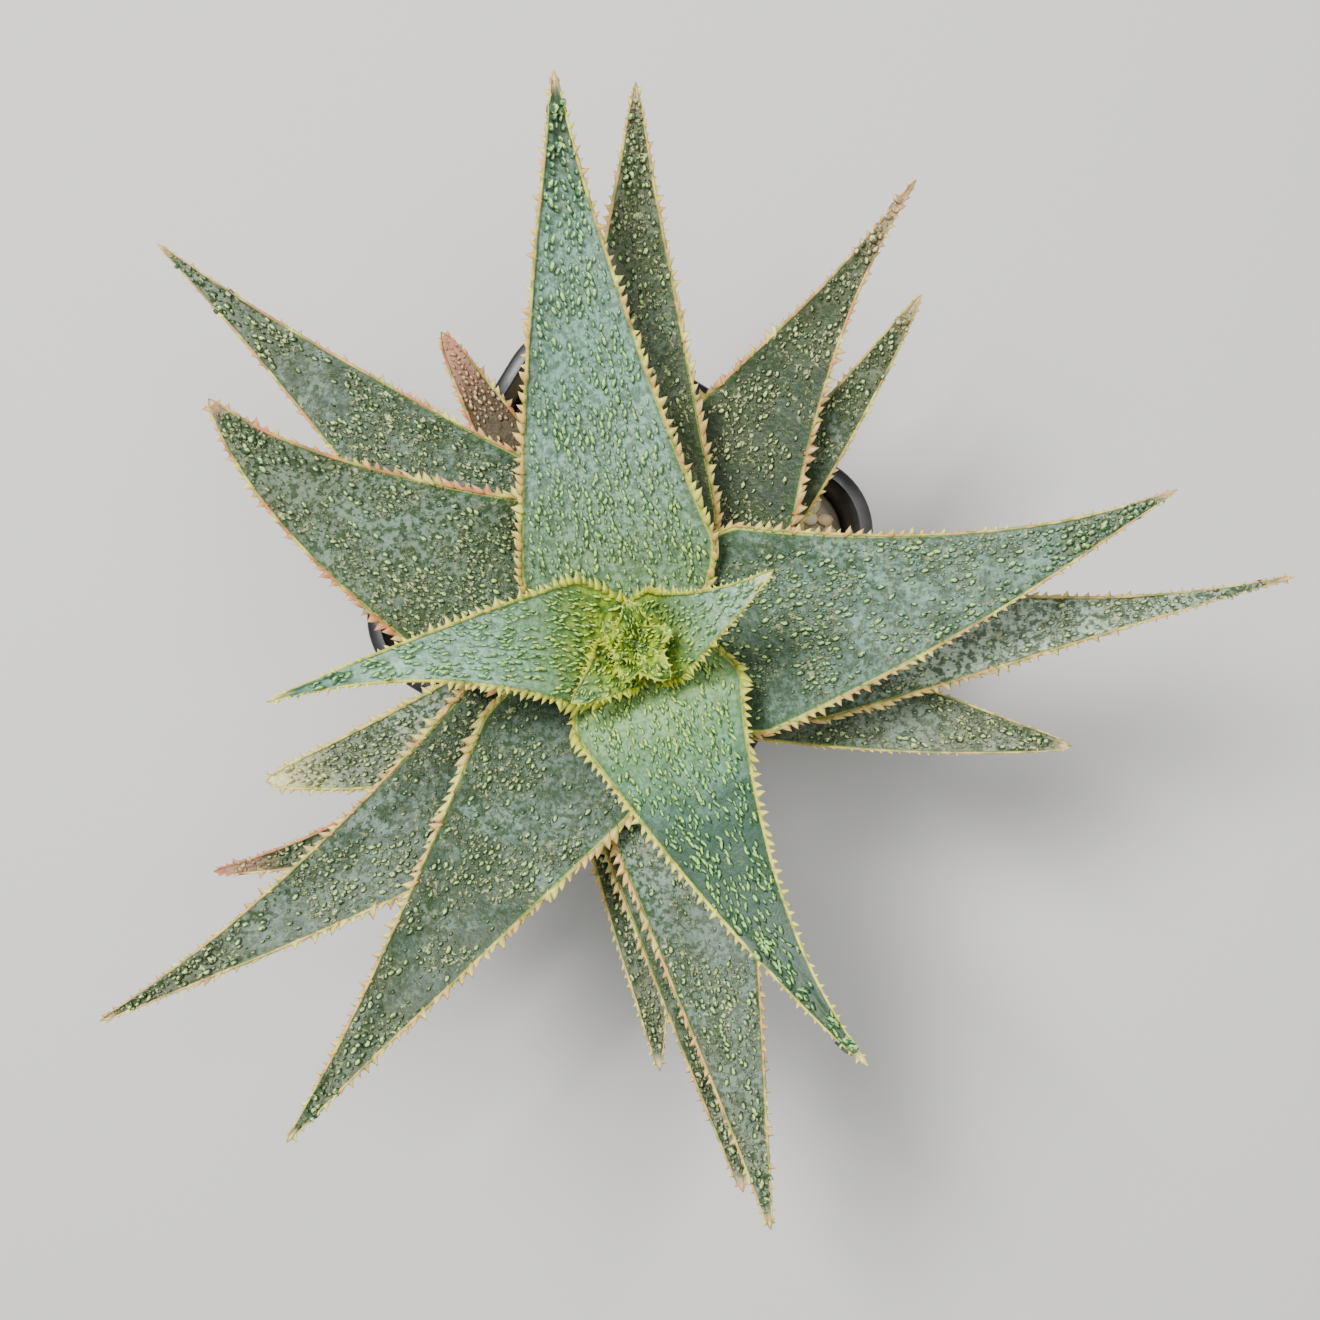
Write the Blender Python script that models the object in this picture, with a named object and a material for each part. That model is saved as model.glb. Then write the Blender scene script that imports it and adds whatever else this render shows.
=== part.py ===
"""A star aloe in a rounded square nursery pot.

Metres, +Z up. The origin is the centre of the pot's base, on the surface that it stands on.
Azimuths are in degrees, anticlockwise from +X as seen from above.
"""

import math
import random
from typing import NamedTuple

import bmesh
import bpy
from mathutils import Vector

MM = 0.001
UP = Vector((0.0, 0.0, 1.0))

# Clearance between pieces that touch
GAP = 0.3 * MM

# Pot: a rounded square, turned on the surface
POT_HEIGHT = 82 * MM
POT_TURN = -31.4
RIM_HALF = 45 * MM
RIM_CORNER = 17 * MM
LIP_WIDTH = 2.0 * MM
LIP_DEPTH = 5.0 * MM
LIP_EDGE = 0.6 * MM
WALL = 1.2 * MM
BASE_HALF = 32 * MM
BASE_CORNER = 12 * MM
FLOOR = 1.6 * MM
FOOT_EDGE = 1.5 * MM
CORNER_STEPS = 6
DRAIN_RADIUS = 4 * MM
DRAIN_OUT = 24 * MM

# Soil and gravel, as depths below the rim
GRAVEL_TOP = 9.5 * MM
GRAVEL_DEPTH = 4.5 * MM
STONE_RISE = 1.5 * MM
STONE_CELLS = 24

# Stem: planted off the pot's centre, as the photograph shows
CROWN_X = 4.0 * MM
CROWN_Y = -15.8 * MM
STEM_SIDES = 16
STEM_BURIED = 22 * MM
STEM_FOOT_RADIUS = 12.0 * MM
STEM_TOP_RADIUS = 3.6 * MM
STEM_TOP = POT_HEIGHT + 36 * MM

# Spiral: the height of the youngest root, and the drop to each older one
FIRST_ROOT = STEM_TOP - 2.0 * MM
ROOT_DROP = 1.8 * MM

# Leaf section: thickness, the hollow of the upper face, and the share of the length where
# both are full. The margins of a root that is wider than the stem are drawn back round it.
ROOT_THICKNESS = 2.8 * MM
THICKNESS_SHARE = 0.36
FULL_AT = 0.36
CHANNEL = 0.16
CLASP = 0.8
CLASP_END = 0.15
UPPER_COLUMNS = (-0.72, -0.36, 0.0, 0.36, 0.72)
LOWER_COLUMNS = (0.6, 0.0, -0.6)
RING_PITCH = 5.2 * MM

# Teeth along the margin, and the tubercles that the faces are raised into. Both are full size
# on a leaf of the grown half width (in millimetres), smaller on a narrower one, and smaller
# where the leaf is narrow near its tip. The first share of the face has no tubercles.
GROWN = 14
FIRST_TOOTH = 3.0 * MM
TOOTH_PITCH = 4.2 * MM
TOOTH_BASE = 2.2 * MM
TOOTH_LENGTH = 1.8 * MM
TOOTH_LEAN = 0.8 * MM
LEAST_TOOTH = 0.35
TUBERCLE = 0.8 * MM
SMOOTH_ROOT = 0.1
NARROW = 4 * MM


class Leaf(NamedTuple):
    """One leaf: directions in degrees, sizes in millimetres, belly, taper and knee as shares."""

    root_az: float
    tip_az: float
    reach: float  # stem axis to tip, seen from above
    tip_rise: float  # tip above the pot's rim
    slope: float  # of the midline at the root
    half_width: float
    root_width: float  # at the root, as a share of the half width
    belly: float  # where along the leaf it starts to narrow
    taper: float
    knee: float  # where along the leaf it turns from its root's direction to its tip
    roll: float  # at the tip; a positive roll lifts the right margin


# Youngest first, the order of the spiral from the top of the stem down
LEAVES = (
    Leaf(228, 222, 17, 50, 60, 6.2, 0.85, 0.15, 0.8, 0.5, 0),
    Leaf(20, 28, 29, 76, 70, 9.5, 0.95, 0.12, 1.0, 0.5, 0),
    Leaf(178, 189, 67, 84, 50, 12.5, 0.66, 0.15, 1.4, 0.5, 0),
    Leaf(290, 299, 89, 75, 44, 18.0, 0.60, 0.12, 1.25, 0.6, 0),
    Leaf(103, 98, 107, 75, 35, 20.0, 0.55, 0.14, 1.0, 0.5, -30),
    Leaf(237, 235, 116, 62, 18, 18.0, 0.32, 0.22, 1.15, 0.5, 0),
    Leaf(7, 16, 108, 60, 20, 21.5, 0.38, 0.18, 1.2, 0.6, 25),
    Leaf(160, 150, 95, 57, 20, 19.5, 0.55, 0.30, 0.9, 0.75, 0),
    Leaf(284, 283, 119, 45, 18, 16.0, 0.65, 0.20, 1.0, 0.5, 0),
    Leaf(91, 90, 111, 48, 17, 17.0, 0.65, 0.20, 1.0, 0.5, -25),
    Leaf(222, 215, 132, 38, 15, 17.0, 0.70, 0.20, 1.2, 0.5, 0),
    Leaf(359, 6, 135, 32, 15, 15.5, 0.75, 0.25, 1.6, 0.5, 0),
    Leaf(141, 140, 127, 35, 13, 15.5, 0.75, 0.30, 1.25, 0.5, 0),
    Leaf(281, 281, 115, 27, 12, 17.0, 0.70, 0.20, 0.9, 0.5, 0),
    Leaf(63, 59, 109, 40, 11, 17.0, 0.70, 0.30, 1.6, 0.5, 0),
    Leaf(208, 200, 83, 20, 11, 13.0, 0.80, 0.20, 0.7, 0.5, 0),
    Leaf(343, 347, 94, 18, 10, 12.5, 0.85, 0.20, 0.8, 0.5, 0),
    Leaf(124, 122, 78, 18, 10, 9.0, 0.95, 0.10, 0.65, 0.5, 0),
    Leaf(270, 273, 90, 16, 9, 15.0, 0.75, 0.20, 1.0, 0.5, 0),
    Leaf(45, 51, 93, 29, 9, 10.5, 0.95, 0.10, 0.9, 0.5, 0),
    Leaf(221, 208, 102, 14, 17, 9.0, 0.95, 0.20, 0.9, 0.6, 0),
    Leaf(138, 138, 103, 12, 14, 9.0, 0.95, 0.20, 0.9, 0.5, 0),
)

# The leaf that has dried up, counted from 1
DRIED_LEAF = 18
DRIED_COLOUR = (0.28, 0.17, 0.12)

# The unopened leaves at the growing point, fused where they wrap each other
HEART_LEAVES = (
    Leaf(96, 100, 7.0, 47, 72, 5.0, 0.8, 0.2, 0.8, 0.5, 0),
    Leaf(310, 315, 7.5, 45, 72, 5.0, 0.8, 0.2, 0.8, 0.5, 0),
    Leaf(205, 210, 4.5, 48, 80, 4.0, 0.8, 0.2, 0.8, 0.5, 0),
)
HEART_ROOT = STEM_TOP + GAP
HEART_FOOT_RADIUS = 4.6 * MM
HEART_FOOT_DEPTH = 2.5 * MM
HEART_ROOT_RADIUS = 0.6 * MM


def heading(azimuth):
    """The level direction of an azimuth."""
    angle = math.radians(azimuth)
    return Vector((math.cos(angle), math.sin(angle), 0.0))


def crown(height):
    """The point of the stem's axis at a height."""
    return Vector((CROWN_X, CROWN_Y, height))


def material(name, colour, roughness):
    """A plain surface of one colour, given as linear red, green and blue."""
    mat = bpy.data.materials.new(name)
    mat.use_nodes = True
    shader = mat.node_tree.nodes["Principled BSDF"]
    shader.inputs["Base Color"].default_value = (*colour, 1.0)
    shader.inputs["Roughness"].default_value = roughness
    shader.inputs["Metallic"].default_value = 0.0
    return mat


def add_object(name, mesh_data, mat, smooth_angle=None):
    """Make a named object from a bmesh, with outward faces, under the plant's empty."""
    bmesh.ops.recalc_face_normals(mesh_data, faces=mesh_data.faces)
    mesh = bpy.data.meshes.new(name)
    mesh_data.to_mesh(mesh)
    mesh_data.free()
    mesh.materials.append(mat)
    if smooth_angle:
        mesh.shade_smooth()
        mesh.set_sharp_from_angle(angle=math.radians(smooth_angle))
    obj = bpy.data.objects.new(name, mesh)
    bpy.context.scene.collection.objects.link(obj)
    obj.parent = bpy.data.objects["star_aloe"]
    return obj


def cut(obj, cutter):
    """Subtract one object from another and keep the cutter as a wire guide."""
    cutter.hide_render = True
    cutter.display_type = "WIRE"
    hole = obj.modifiers.new("cut_" + cutter.name, "BOOLEAN")
    hole.operation = "DIFFERENCE"
    hole.solver = "EXACT"
    hole.object = cutter


def cylinder(name, radius, bottom, top, centre, sides, mat):
    """A plain cylinder between two heights."""
    shape = bmesh.new()
    bmesh.ops.create_cone(
        shape, cap_ends=True, segments=sides, radius1=radius, radius2=radius, depth=top - bottom
    )
    middle = Vector((centre.x, centre.y, (bottom + top) / 2))
    bmesh.ops.translate(shape, verts=shape.verts, vec=middle)
    return add_object(name, shape, mat, 30)


def rounded_square(half, corner, height):
    """The outline of a rounded square at a height, turned as the pot is."""
    points = []
    for quarter in range(4):
        middle = math.radians(45 + 90 * quarter)
        centre = Vector((math.cos(middle), math.sin(middle), 0)) * (half - corner) * math.sqrt(2)
        for step in range(CORNER_STEPS + 1):
            angle = 90 * quarter + 90 * step / CORNER_STEPS
            points.append(centre + heading(angle) * corner)
    turn = math.radians(POT_TURN)
    return [
        Vector(
            (
                p.x * math.cos(turn) - p.y * math.sin(turn),
                p.x * math.sin(turn) + p.y * math.cos(turn),
                height,
            )
        )
        for p in points
    ]


def loft(outlines):
    """A closed solid through outlines that have the same number of points."""
    shape = bmesh.new()
    rings = [[shape.verts.new(p) for p in outline] for outline in outlines]
    for lower, upper in zip(rings, rings[1:]):
        for i in range(len(lower)):
            j = (i + 1) % len(lower)
            shape.faces.new((lower[i], lower[j], upper[j], upper[i]))
    shape.faces.new(reversed(rings[0]))
    shape.faces.new(rings[-1])
    return shape


def outer_half(height):
    """Half the pot's outside width at a height, from the taper of its wall."""
    share = height / POT_HEIGHT
    return BASE_HALF + (RIM_HALF - LIP_WIDTH - BASE_HALF) * share


def outer_corner(height):
    """The pot's outside corner radius at a height."""
    share = height / POT_HEIGHT
    return BASE_CORNER + (RIM_CORNER - LIP_WIDTH - BASE_CORNER) * share


def wall_outline(height, inset):
    """The pot's outside outline at a height, drawn in by an inset."""
    return rounded_square(outer_half(height) - inset, outer_corner(height) - inset, height)


def build_pot():
    """The pot: a tapered shell with a turned lip and four drain holes."""
    lip_foot = POT_HEIGHT - LIP_DEPTH
    lip_half = RIM_HALF - LIP_EDGE
    lip_corner = RIM_CORNER - LIP_EDGE
    shape = loft(
        [
            rounded_square(BASE_HALF - FOOT_EDGE, BASE_CORNER - FOOT_EDGE, 0),
            wall_outline(FOOT_EDGE, 0),
            wall_outline(lip_foot, 0),
            rounded_square(lip_half, lip_corner, lip_foot),
            rounded_square(RIM_HALF, RIM_CORNER, lip_foot + LIP_EDGE),
            rounded_square(RIM_HALF, RIM_CORNER, POT_HEIGHT - LIP_EDGE),
            rounded_square(lip_half, lip_corner, POT_HEIGHT),
            wall_outline(POT_HEIGHT, WALL),
            wall_outline(FLOOR, WALL),
        ]
    )
    plastic = material("black_plastic", (0.012, 0.012, 0.013), 0.5)
    pot = add_object("pot", shape, plastic, 40)
    for quarter in range(4):
        centre = heading(45 + 90 * quarter + POT_TURN) * DRAIN_OUT
        name = f"drain_cutter_{quarter + 1}"
        cut(pot, cylinder(name, DRAIN_RADIUS, -FLOOR, 2 * FLOOR, centre, 12, plastic))


def stem_radius(height):
    """The stem's radius at a height: straight in the soil, then narrowing to the top."""
    root_level = POT_HEIGHT - GRAVEL_TOP
    share = max(0.0, (height - root_level) / (STEM_TOP - root_level))
    return STEM_FOOT_RADIUS + (STEM_TOP_RADIUS - STEM_FOOT_RADIUS) * share


def build_stem():
    """The short stem: a narrowing round post in the soil that every leaf grows from."""
    gravel_top = POT_HEIGHT - GRAVEL_TOP
    heights = [gravel_top - STEM_BURIED, gravel_top, (gravel_top + STEM_TOP) / 2, STEM_TOP]
    outlines = []
    for height in heights:
        angles = [360 * i / STEM_SIDES for i in range(STEM_SIDES)]
        outlines.append([crown(height) + heading(a) * stem_radius(height) for a in angles])
    add_object("stem", loft(outlines), material("stem_tissue", (0.30, 0.27, 0.13), 0.7), 40)


def build_soil():
    """The potting mix: it fills the pot, with a hole for the stem."""
    top = POT_HEIGHT - GRAVEL_TOP - GRAVEL_DEPTH
    shape = loft(
        [
            wall_outline(FLOOR + GAP, WALL + GAP),
            wall_outline(top, WALL + GAP),
        ]
    )
    mix = material("potting_mix", (0.035, 0.024, 0.016), 0.95)
    soil = add_object("soil", shape, mix)
    bottom = POT_HEIGHT - GRAVEL_TOP - STEM_BURIED - GAP
    radius = STEM_FOOT_RADIUS + GAP
    cutter = cylinder(
        "soil_cutter", radius, bottom, top + GRAVEL_DEPTH, crown(0), STEM_SIDES, mix
    )
    cut(soil, cutter)


def outline_reach(angle, half, corner):
    """How far a rounded square reaches from its centre in a direction."""
    x, y = abs(math.cos(angle)), abs(math.sin(angle))
    straight = half / max(x, y)
    core = half - corner
    if min(x, y) * straight <= core:
        return straight
    along = core * (x + y)
    return along + math.sqrt(along * along - 2 * core * core + corner * corner)


def build_gravel():
    """The top dressing: one layer over the soil, raised into stones on a jittered grid."""
    rng = random.Random(4)
    low = POT_HEIGHT - GRAVEL_TOP - GRAVEL_DEPTH + GAP
    top = POT_HEIGHT - GRAVEL_TOP
    half = outer_half(low) - WALL - GAP
    corner = outer_corner(low) - WALL - GAP
    turn = math.radians(POT_TURN)
    shape = bmesh.new()
    grid = {}
    for i in range(STONE_CELLS + 1):
        for j in range(STONE_CELLS + 1):
            u, v = 2 * i / STONE_CELLS - 1, 2 * j / STONE_CELLS - 1
            angle = math.atan2(v, u)
            reach = max(abs(u), abs(v)) * outline_reach(angle, half, corner)
            edge = max(abs(u), abs(v)) > 0.99
            shift = 0 if edge else 0.25 * half / STONE_CELLS
            spot = Vector((math.cos(angle + turn), math.sin(angle + turn), 0)) * reach
            spot += Vector((rng.uniform(-shift, shift), rng.uniform(-shift, shift), 0))
            raised = (i + j) % 2 == 0
            spot.z = top if raised and not edge else top - STONE_RISE
            grid[i, j] = shape.verts.new(spot)
    for i in range(STONE_CELLS):
        for j in range(STONE_CELLS):
            a, b, c, d = grid[i, j], grid[i + 1, j], grid[i + 1, j + 1], grid[i, j + 1]
            if (i + j) % 2 == 0:
                shape.faces.new((a, b, d))
                shape.faces.new((b, c, d))
            else:
                shape.faces.new((a, b, c))
                shape.faces.new((a, c, d))
    rim = [e for e in shape.edges if e.is_boundary]
    wall = bmesh.ops.extrude_edge_only(shape, edges=rim)["geom"]
    foot = [v for v in wall if isinstance(v, bmesh.types.BMVert)]
    for vertex in foot:
        vertex.co.z = low
    bmesh.ops.holes_fill(shape, edges=[e for e in shape.edges if e.is_boundary])
    stone = material("pale_gravel", (0.66, 0.54, 0.37), 0.8)
    gravel = add_object("gravel", shape, stone)
    radius = STEM_FOOT_RADIUS + GAP
    cutter = cylinder("gravel_cutter", radius, low - MM, top + MM, crown(0), STEM_SIDES, stone)
    cut(gravel, cutter)


class Midline:
    """The middle of a leaf from root to tip: a curve with one knee, walked by its length."""

    SAMPLES = 48

    def __init__(self, leaf, root_height, root_radius):
        out = heading(leaf.root_az)
        self.leaf = leaf
        spare = half_width(leaf, 0.0) - root_radius
        self.clasp = max(0.0, min(spare, root_radius)) * CLASP
        self.start = crown(root_height) + out * root_radius
        self.end = crown(POT_HEIGHT + leaf.tip_rise * MM) + heading(leaf.tip_az) * leaf.reach * MM
        span = (self.end - self.start).xy.length * leaf.knee
        self.knee = self.start + (out + UP * math.tan(math.radians(leaf.slope))) * span
        self.walk = [0.0]
        points = [self.point(i / self.SAMPLES) for i in range(self.SAMPLES + 1)]
        for a, b in zip(points, points[1:]):
            self.walk.append(self.walk[-1] + (b - a).length)
        self.length = self.walk[-1]

    def point(self, t):
        """A point at a curve parameter."""
        return self.start * (1 - t) ** 2 + self.knee * 2 * t * (1 - t) + self.end * t * t

    def parameter(self, share):
        """The curve parameter at a share of the length."""
        target = share * self.length
        for i in range(self.SAMPLES):
            if self.walk[i + 1] >= target:
                step = self.walk[i + 1] - self.walk[i]
                return (i + (target - self.walk[i]) / step) / self.SAMPLES
        return 1.0

    def frame(self, share):
        """The point, the sideways direction and the upward direction at a share of the length."""
        t = self.parameter(share)
        along = ((self.knee - self.start) * (1 - t) + (self.end - self.knee) * t).normalized()
        side = along.cross(UP).normalized()
        up = side.cross(along)
        roll = math.radians(self.leaf.roll) * share * share
        turned_side = side * math.cos(roll) + up * math.sin(roll)
        turned_up = up * math.cos(roll) - side * math.sin(roll)
        return self.point(t), turned_side, turned_up, along


def half_width(leaf, share):
    """Half the leaf's width: drawn in at the root, full at the belly, then to a point."""
    fall = (1 - share) / (1 - leaf.belly)
    if fall >= 1:
        drawn_in = (1 - leaf.root_width) * (1 - share / leaf.belly) ** 2
        return leaf.half_width * MM * (1 - drawn_in)
    return leaf.half_width * MM * fall**leaf.taper


def thickness(leaf, share):
    """The leaf's thickness on its midline: thin at the root, full at FULL_AT, fine at the tip."""
    full = leaf.half_width * MM * THICKNESS_SHARE
    if share < FULL_AT:
        root = min(ROOT_THICKNESS, full)
        return root + (full - root) * math.sin(math.pi / 2 * share / FULL_AT)
    return full * ((1 - share) / (1 - FULL_AT)) ** 0.8


def section_point(midline, share, u, face, lift=0.0, out=0.0):
    """A point of the leaf's skin: u runs from the left margin, -1, to the right margin, 1."""
    leaf = midline.leaf
    point, side, up, along = midline.frame(share)
    width = half_width(leaf, share)
    height = CHANNEL * min(1.0, share / FULL_AT) * width * abs(u) ** 1.6
    clasp = midline.clasp * u * u * max(0.0, 1 - share / CLASP_END) ** 2
    if face < 0:
        height -= thickness(leaf, share) * (1 - abs(u) ** 2.2)
    lateral = width * u + math.copysign(out, u) if out else width * u
    forward = out * TOOTH_LEAN / TOOTH_LENGTH
    skin = point + side * lateral + up * (height + face * lift) + along * forward
    return skin - heading(leaf.root_az) * clasp


class Spot(NamedTuple):
    """A vertex in a row along the leaf, with its share of the length."""

    share: float
    vertex: object
    raised: bool


def stitch(shape, row, other):
    """Fill the strip between two rows, with the edges of equal steps joining low spots."""
    i = j = 0
    while i < len(row) - 1 or j < len(other) - 1:
        if i == len(row) - 1:
            first = False
        elif j == len(other) - 1:
            first = True
        elif abs(row[i + 1].share - other[j + 1].share) < 1e-6:
            first = row[i].raised
        else:
            first = row[i + 1].share < other[j + 1].share
        a, b = row[i].vertex, other[j].vertex
        if first:
            i += 1
            tip = row[i].vertex
        else:
            j += 1
            tip = other[j].vertex
        if a is not b and tip not in (a, b):
            shape.faces.new((a, b, tip))


def face_row(shape, midline, u, face, column, rings, tip):
    """A row of vertices on a face, with every other one raised into a tubercle."""
    growth = min(1.0, midline.leaf.half_width / GROWN)
    row = []
    for ring in range(rings):
        share = ring / rings
        raised = (ring + column) % 2 == 1 and 0 < ring
        grown_in = max(0.0, share - SMOOTH_ROOT) / SMOOTH_ROOT
        room = min(1.0, grown_in, half_width(midline.leaf, share) / NARROW)
        lift = TUBERCLE * growth * room if raised else 0.0
        place = section_point(midline, share, u, face, lift)
        row.append(Spot(share, shape.verts.new(place), raised))
    row.append(Spot(1.0, tip, False))
    return row


def margin_row(shape, midline, side, tip):
    """A row of vertices along one margin, drawn out into teeth that lean to the tip."""
    length = midline.length
    growth = min(1.0, midline.leaf.half_width / GROWN)
    pitch = TOOTH_PITCH * (0.5 + 0.5 * growth)
    base = TOOTH_BASE * (0.5 + 0.5 * growth)
    count = int((length * 0.95 - FIRST_TOOTH * growth) / pitch)
    row = [Spot(0.0, shape.verts.new(section_point(midline, 0.0, side, 1)), False)]
    for k in range(count):
        foot = (FIRST_TOOTH * growth + k * pitch) / length
        peak = foot + base / 2 / length
        heel = foot + base / length
        room = min(1.0, LEAST_TOOTH + half_width(midline.leaf, peak) / (2 * NARROW))
        size = TOOTH_LENGTH * growth * room
        for share, out in ((foot, 0.0), (peak, size), (heel, 0.0)):
            place = section_point(midline, share, side, 1, 0.0, out)
            row.append(Spot(share, shape.verts.new(place), False))
    row.append(Spot(1.0, tip, False))
    return row


def root_row(rows, columns):
    """The first vertices of some rows, as a row across the root."""
    return [Spot(u, row[0].vertex, False) for u, row in zip(columns, rows)]


def leaf_shape(leaf, root_height, root_radius):
    """A leaf as one closed skin: rows along it, stitched round, with a flat root."""
    shape = bmesh.new()
    midline = Midline(leaf, root_height, root_radius)
    rings = max(5, round(midline.length / RING_PITCH))
    tip = shape.verts.new(midline.end)
    rows = [margin_row(shape, midline, -1, tip)]
    for column, u in enumerate(UPPER_COLUMNS):
        rows.append(face_row(shape, midline, u, 1, column, rings, tip))
    rows.append(margin_row(shape, midline, 1, tip))
    for column, u in enumerate(LOWER_COLUMNS):
        rows.append(face_row(shape, midline, u, -1, column, rings, tip))
    for row, other in zip(rows, rows[1:] + rows[:1]):
        stitch(shape, row, other)
    upper = rows[: len(UPPER_COLUMNS) + 2]
    lower = [rows[0], *reversed(rows[len(upper) :]), rows[len(upper) - 1]]
    top_row = root_row(upper, (-1, *UPPER_COLUMNS, 1))
    bottom_row = root_row(lower, (-1, *reversed(LOWER_COLUMNS), 1))
    stitch(shape, top_row, bottom_row)
    return shape


def leaf_colour(age):
    """From lime green at the heart through sea green to the grey green of the oldest."""
    young, middle, old = (0.28, 0.40, 0.13), (0.19, 0.32, 0.25), (0.10, 0.16, 0.12)
    if age < 0.3:
        low, high, share = young, middle, age / 0.3
    else:
        low, high, share = middle, old, (age - 0.3) / 0.7
    return tuple(a + (b - a) * share for a, b in zip(low, high))


def build_leaves():
    """The open leaves, each at its own height on the stem."""
    for index, leaf in enumerate(LEAVES):
        root_height = FIRST_ROOT - index * ROOT_DROP
        radius = stem_radius(root_height) + GAP
        shape = leaf_shape(leaf, root_height, radius)
        name = f"leaf_{index + 1:02d}"
        dried = index + 1 == DRIED_LEAF
        colour = DRIED_COLOUR if dried else leaf_colour(index / len(LEAVES))
        add_object(name, shape, material(name, colour, 0.5), 35)


def build_heart():
    """The bud of folded leaves on top of the stem, fused into one solid."""
    mat = material("heart_green", (0.30, 0.42, 0.08), 0.5)
    top = HEART_ROOT + HEART_FOOT_DEPTH
    foot = cylinder("heart", HEART_FOOT_RADIUS, HEART_ROOT, top, crown(0), STEM_SIDES, mat)
    folded = bpy.data.collections.new("heart_leaves")
    for index, leaf in enumerate(HEART_LEAVES):
        shape = leaf_shape(leaf, HEART_ROOT + HEART_FOOT_DEPTH / 2, HEART_ROOT_RADIUS)
        blade = add_object(f"heart_leaf_{index + 1}", shape, mat)
        bpy.context.scene.collection.objects.unlink(blade)
        folded.objects.link(blade)
    fuse = foot.modifiers.new("fuse", "BOOLEAN")
    fuse.operation = "UNION"
    fuse.solver = "EXACT"
    fuse.operand_type = "COLLECTION"
    fuse.collection = folded
    bpy.context.view_layer.update()
    evaluated = foot.evaluated_get(bpy.context.evaluated_depsgraph_get())
    fused = bpy.data.meshes.new_from_object(evaluated)
    foot.modifiers.clear()
    foot.data = fused
    for blade in list(folded.objects):
        bpy.data.objects.remove(blade)
    bpy.data.collections.remove(folded)


def main():
    for obj in list(bpy.data.objects):
        bpy.data.objects.remove(obj)
    plant = bpy.data.objects.new("star_aloe", None)
    bpy.context.scene.collection.objects.link(plant)
    build_pot()
    build_soil()
    build_gravel()
    build_stem()
    build_heart()
    build_leaves()


main()
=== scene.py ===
# %% [markdown]
# # A potted star aloe
# The plant is a spiral of thick, toothed leaves on a short stem, in a square black nursery pot.
# The solids of the frame already have the right places and sizes. This lesson dresses them:
# every leaf is grown again, finer, by one Geometry Nodes tree, and the pot, the gravel and the
# stem get the detail that a look from close by needs.

# %% Load the frame
import math
from collections import namedtuple
from types import SimpleNamespace

import bpy
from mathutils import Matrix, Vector


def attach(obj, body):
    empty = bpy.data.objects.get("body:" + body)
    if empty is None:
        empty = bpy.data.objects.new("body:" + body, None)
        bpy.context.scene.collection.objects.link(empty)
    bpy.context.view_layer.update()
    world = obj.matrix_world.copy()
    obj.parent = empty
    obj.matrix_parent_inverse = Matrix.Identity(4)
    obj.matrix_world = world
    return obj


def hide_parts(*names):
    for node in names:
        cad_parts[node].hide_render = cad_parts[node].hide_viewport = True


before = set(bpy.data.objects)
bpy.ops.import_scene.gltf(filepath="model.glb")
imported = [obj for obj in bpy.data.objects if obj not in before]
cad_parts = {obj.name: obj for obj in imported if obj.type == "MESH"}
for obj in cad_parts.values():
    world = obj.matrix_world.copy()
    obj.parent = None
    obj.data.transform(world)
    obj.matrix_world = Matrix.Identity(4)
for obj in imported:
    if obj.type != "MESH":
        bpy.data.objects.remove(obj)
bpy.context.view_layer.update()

# %% [markdown]
# ## A few small helpers
# Every tree below, for a material or for a shape, is made of nodes that are added, set and
# linked in the same way, so one function does that, and finds the node's family by itself.
# Colours are written as the hex values that a screen shows, and Blender's shaders need them
# linear, so another function turns them.

# %% Helpers for nodes and colours
MM = 0.001
UP = Vector((0.0, 0.0, 1.0))


def fill(tree, node, inputs):
    """Fill inputs, by order or by name, from nodes, sockets, plain values or hex colours."""
    shown = [socket for socket in node.inputs if socket.enabled]
    filled = inputs if isinstance(inputs, dict) else dict(enumerate(inputs))
    for key, value in filled.items():
        socket = node.inputs[key] if isinstance(key, str) else shown[key]
        if isinstance(value, bpy.types.Node):
            value = next(out for out in value.outputs if out.enabled)
        if isinstance(value, bpy.types.NodeSocket):
            tree.links.new(value, socket)
        elif value is not None:
            is_hex = socket.type == "RGBA" and isinstance(value, str)
            socket.default_value = colour(value) if is_hex else value


SIGNS = {"*": "MULTIPLY", "+": "ADD", "-": "SUBTRACT", "/": "DIVIDE"}
SIGNS |= {"<": "LESS_THAN", ">": "GREATER_THAN"}


def add(tree, kind, inputs=(), choice=None, **settings):
    """Add a node, named without its family. The choice is its operation, data type or mode."""
    families = ("ShaderNode", "GeometryNode", "FunctionNode", "")
    node = tree.nodes.new(next(f + kind for f in families if hasattr(bpy.types, f + kind)))
    if choice:
        menu = next(menu for menu in ("operation", "data_type", "mode") if hasattr(node, menu))
        settings[menu] = SIGNS.get(choice, choice)
    for name, value in settings.items():
        setattr(node, name, value)
    fill(tree, node, inputs)
    return node


def colour(hex_code):
    """A screen colour such as 8fa393 as linear red, green, blue and alpha."""
    parts = [int(hex_code[i : i + 2], 16) / 255 for i in (0, 2, 4)]
    linear = [p / 12.92 if p <= 0.04045 else ((p + 0.055) / 1.055) ** 2.4 for p in parts]
    return (*linear, 1.0)


def shader_tree(name):
    """A new material, its node tree and its Principled shader."""
    mat = bpy.data.materials.new(name)
    mat.use_nodes = True
    return mat, mat.node_tree, mat.node_tree.nodes["Principled BSDF"]


def show(name, data):
    """A new object in the scene."""
    obj = bpy.data.objects.new(name, data)
    bpy.context.scene.collection.objects.link(obj)
    return obj


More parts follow.
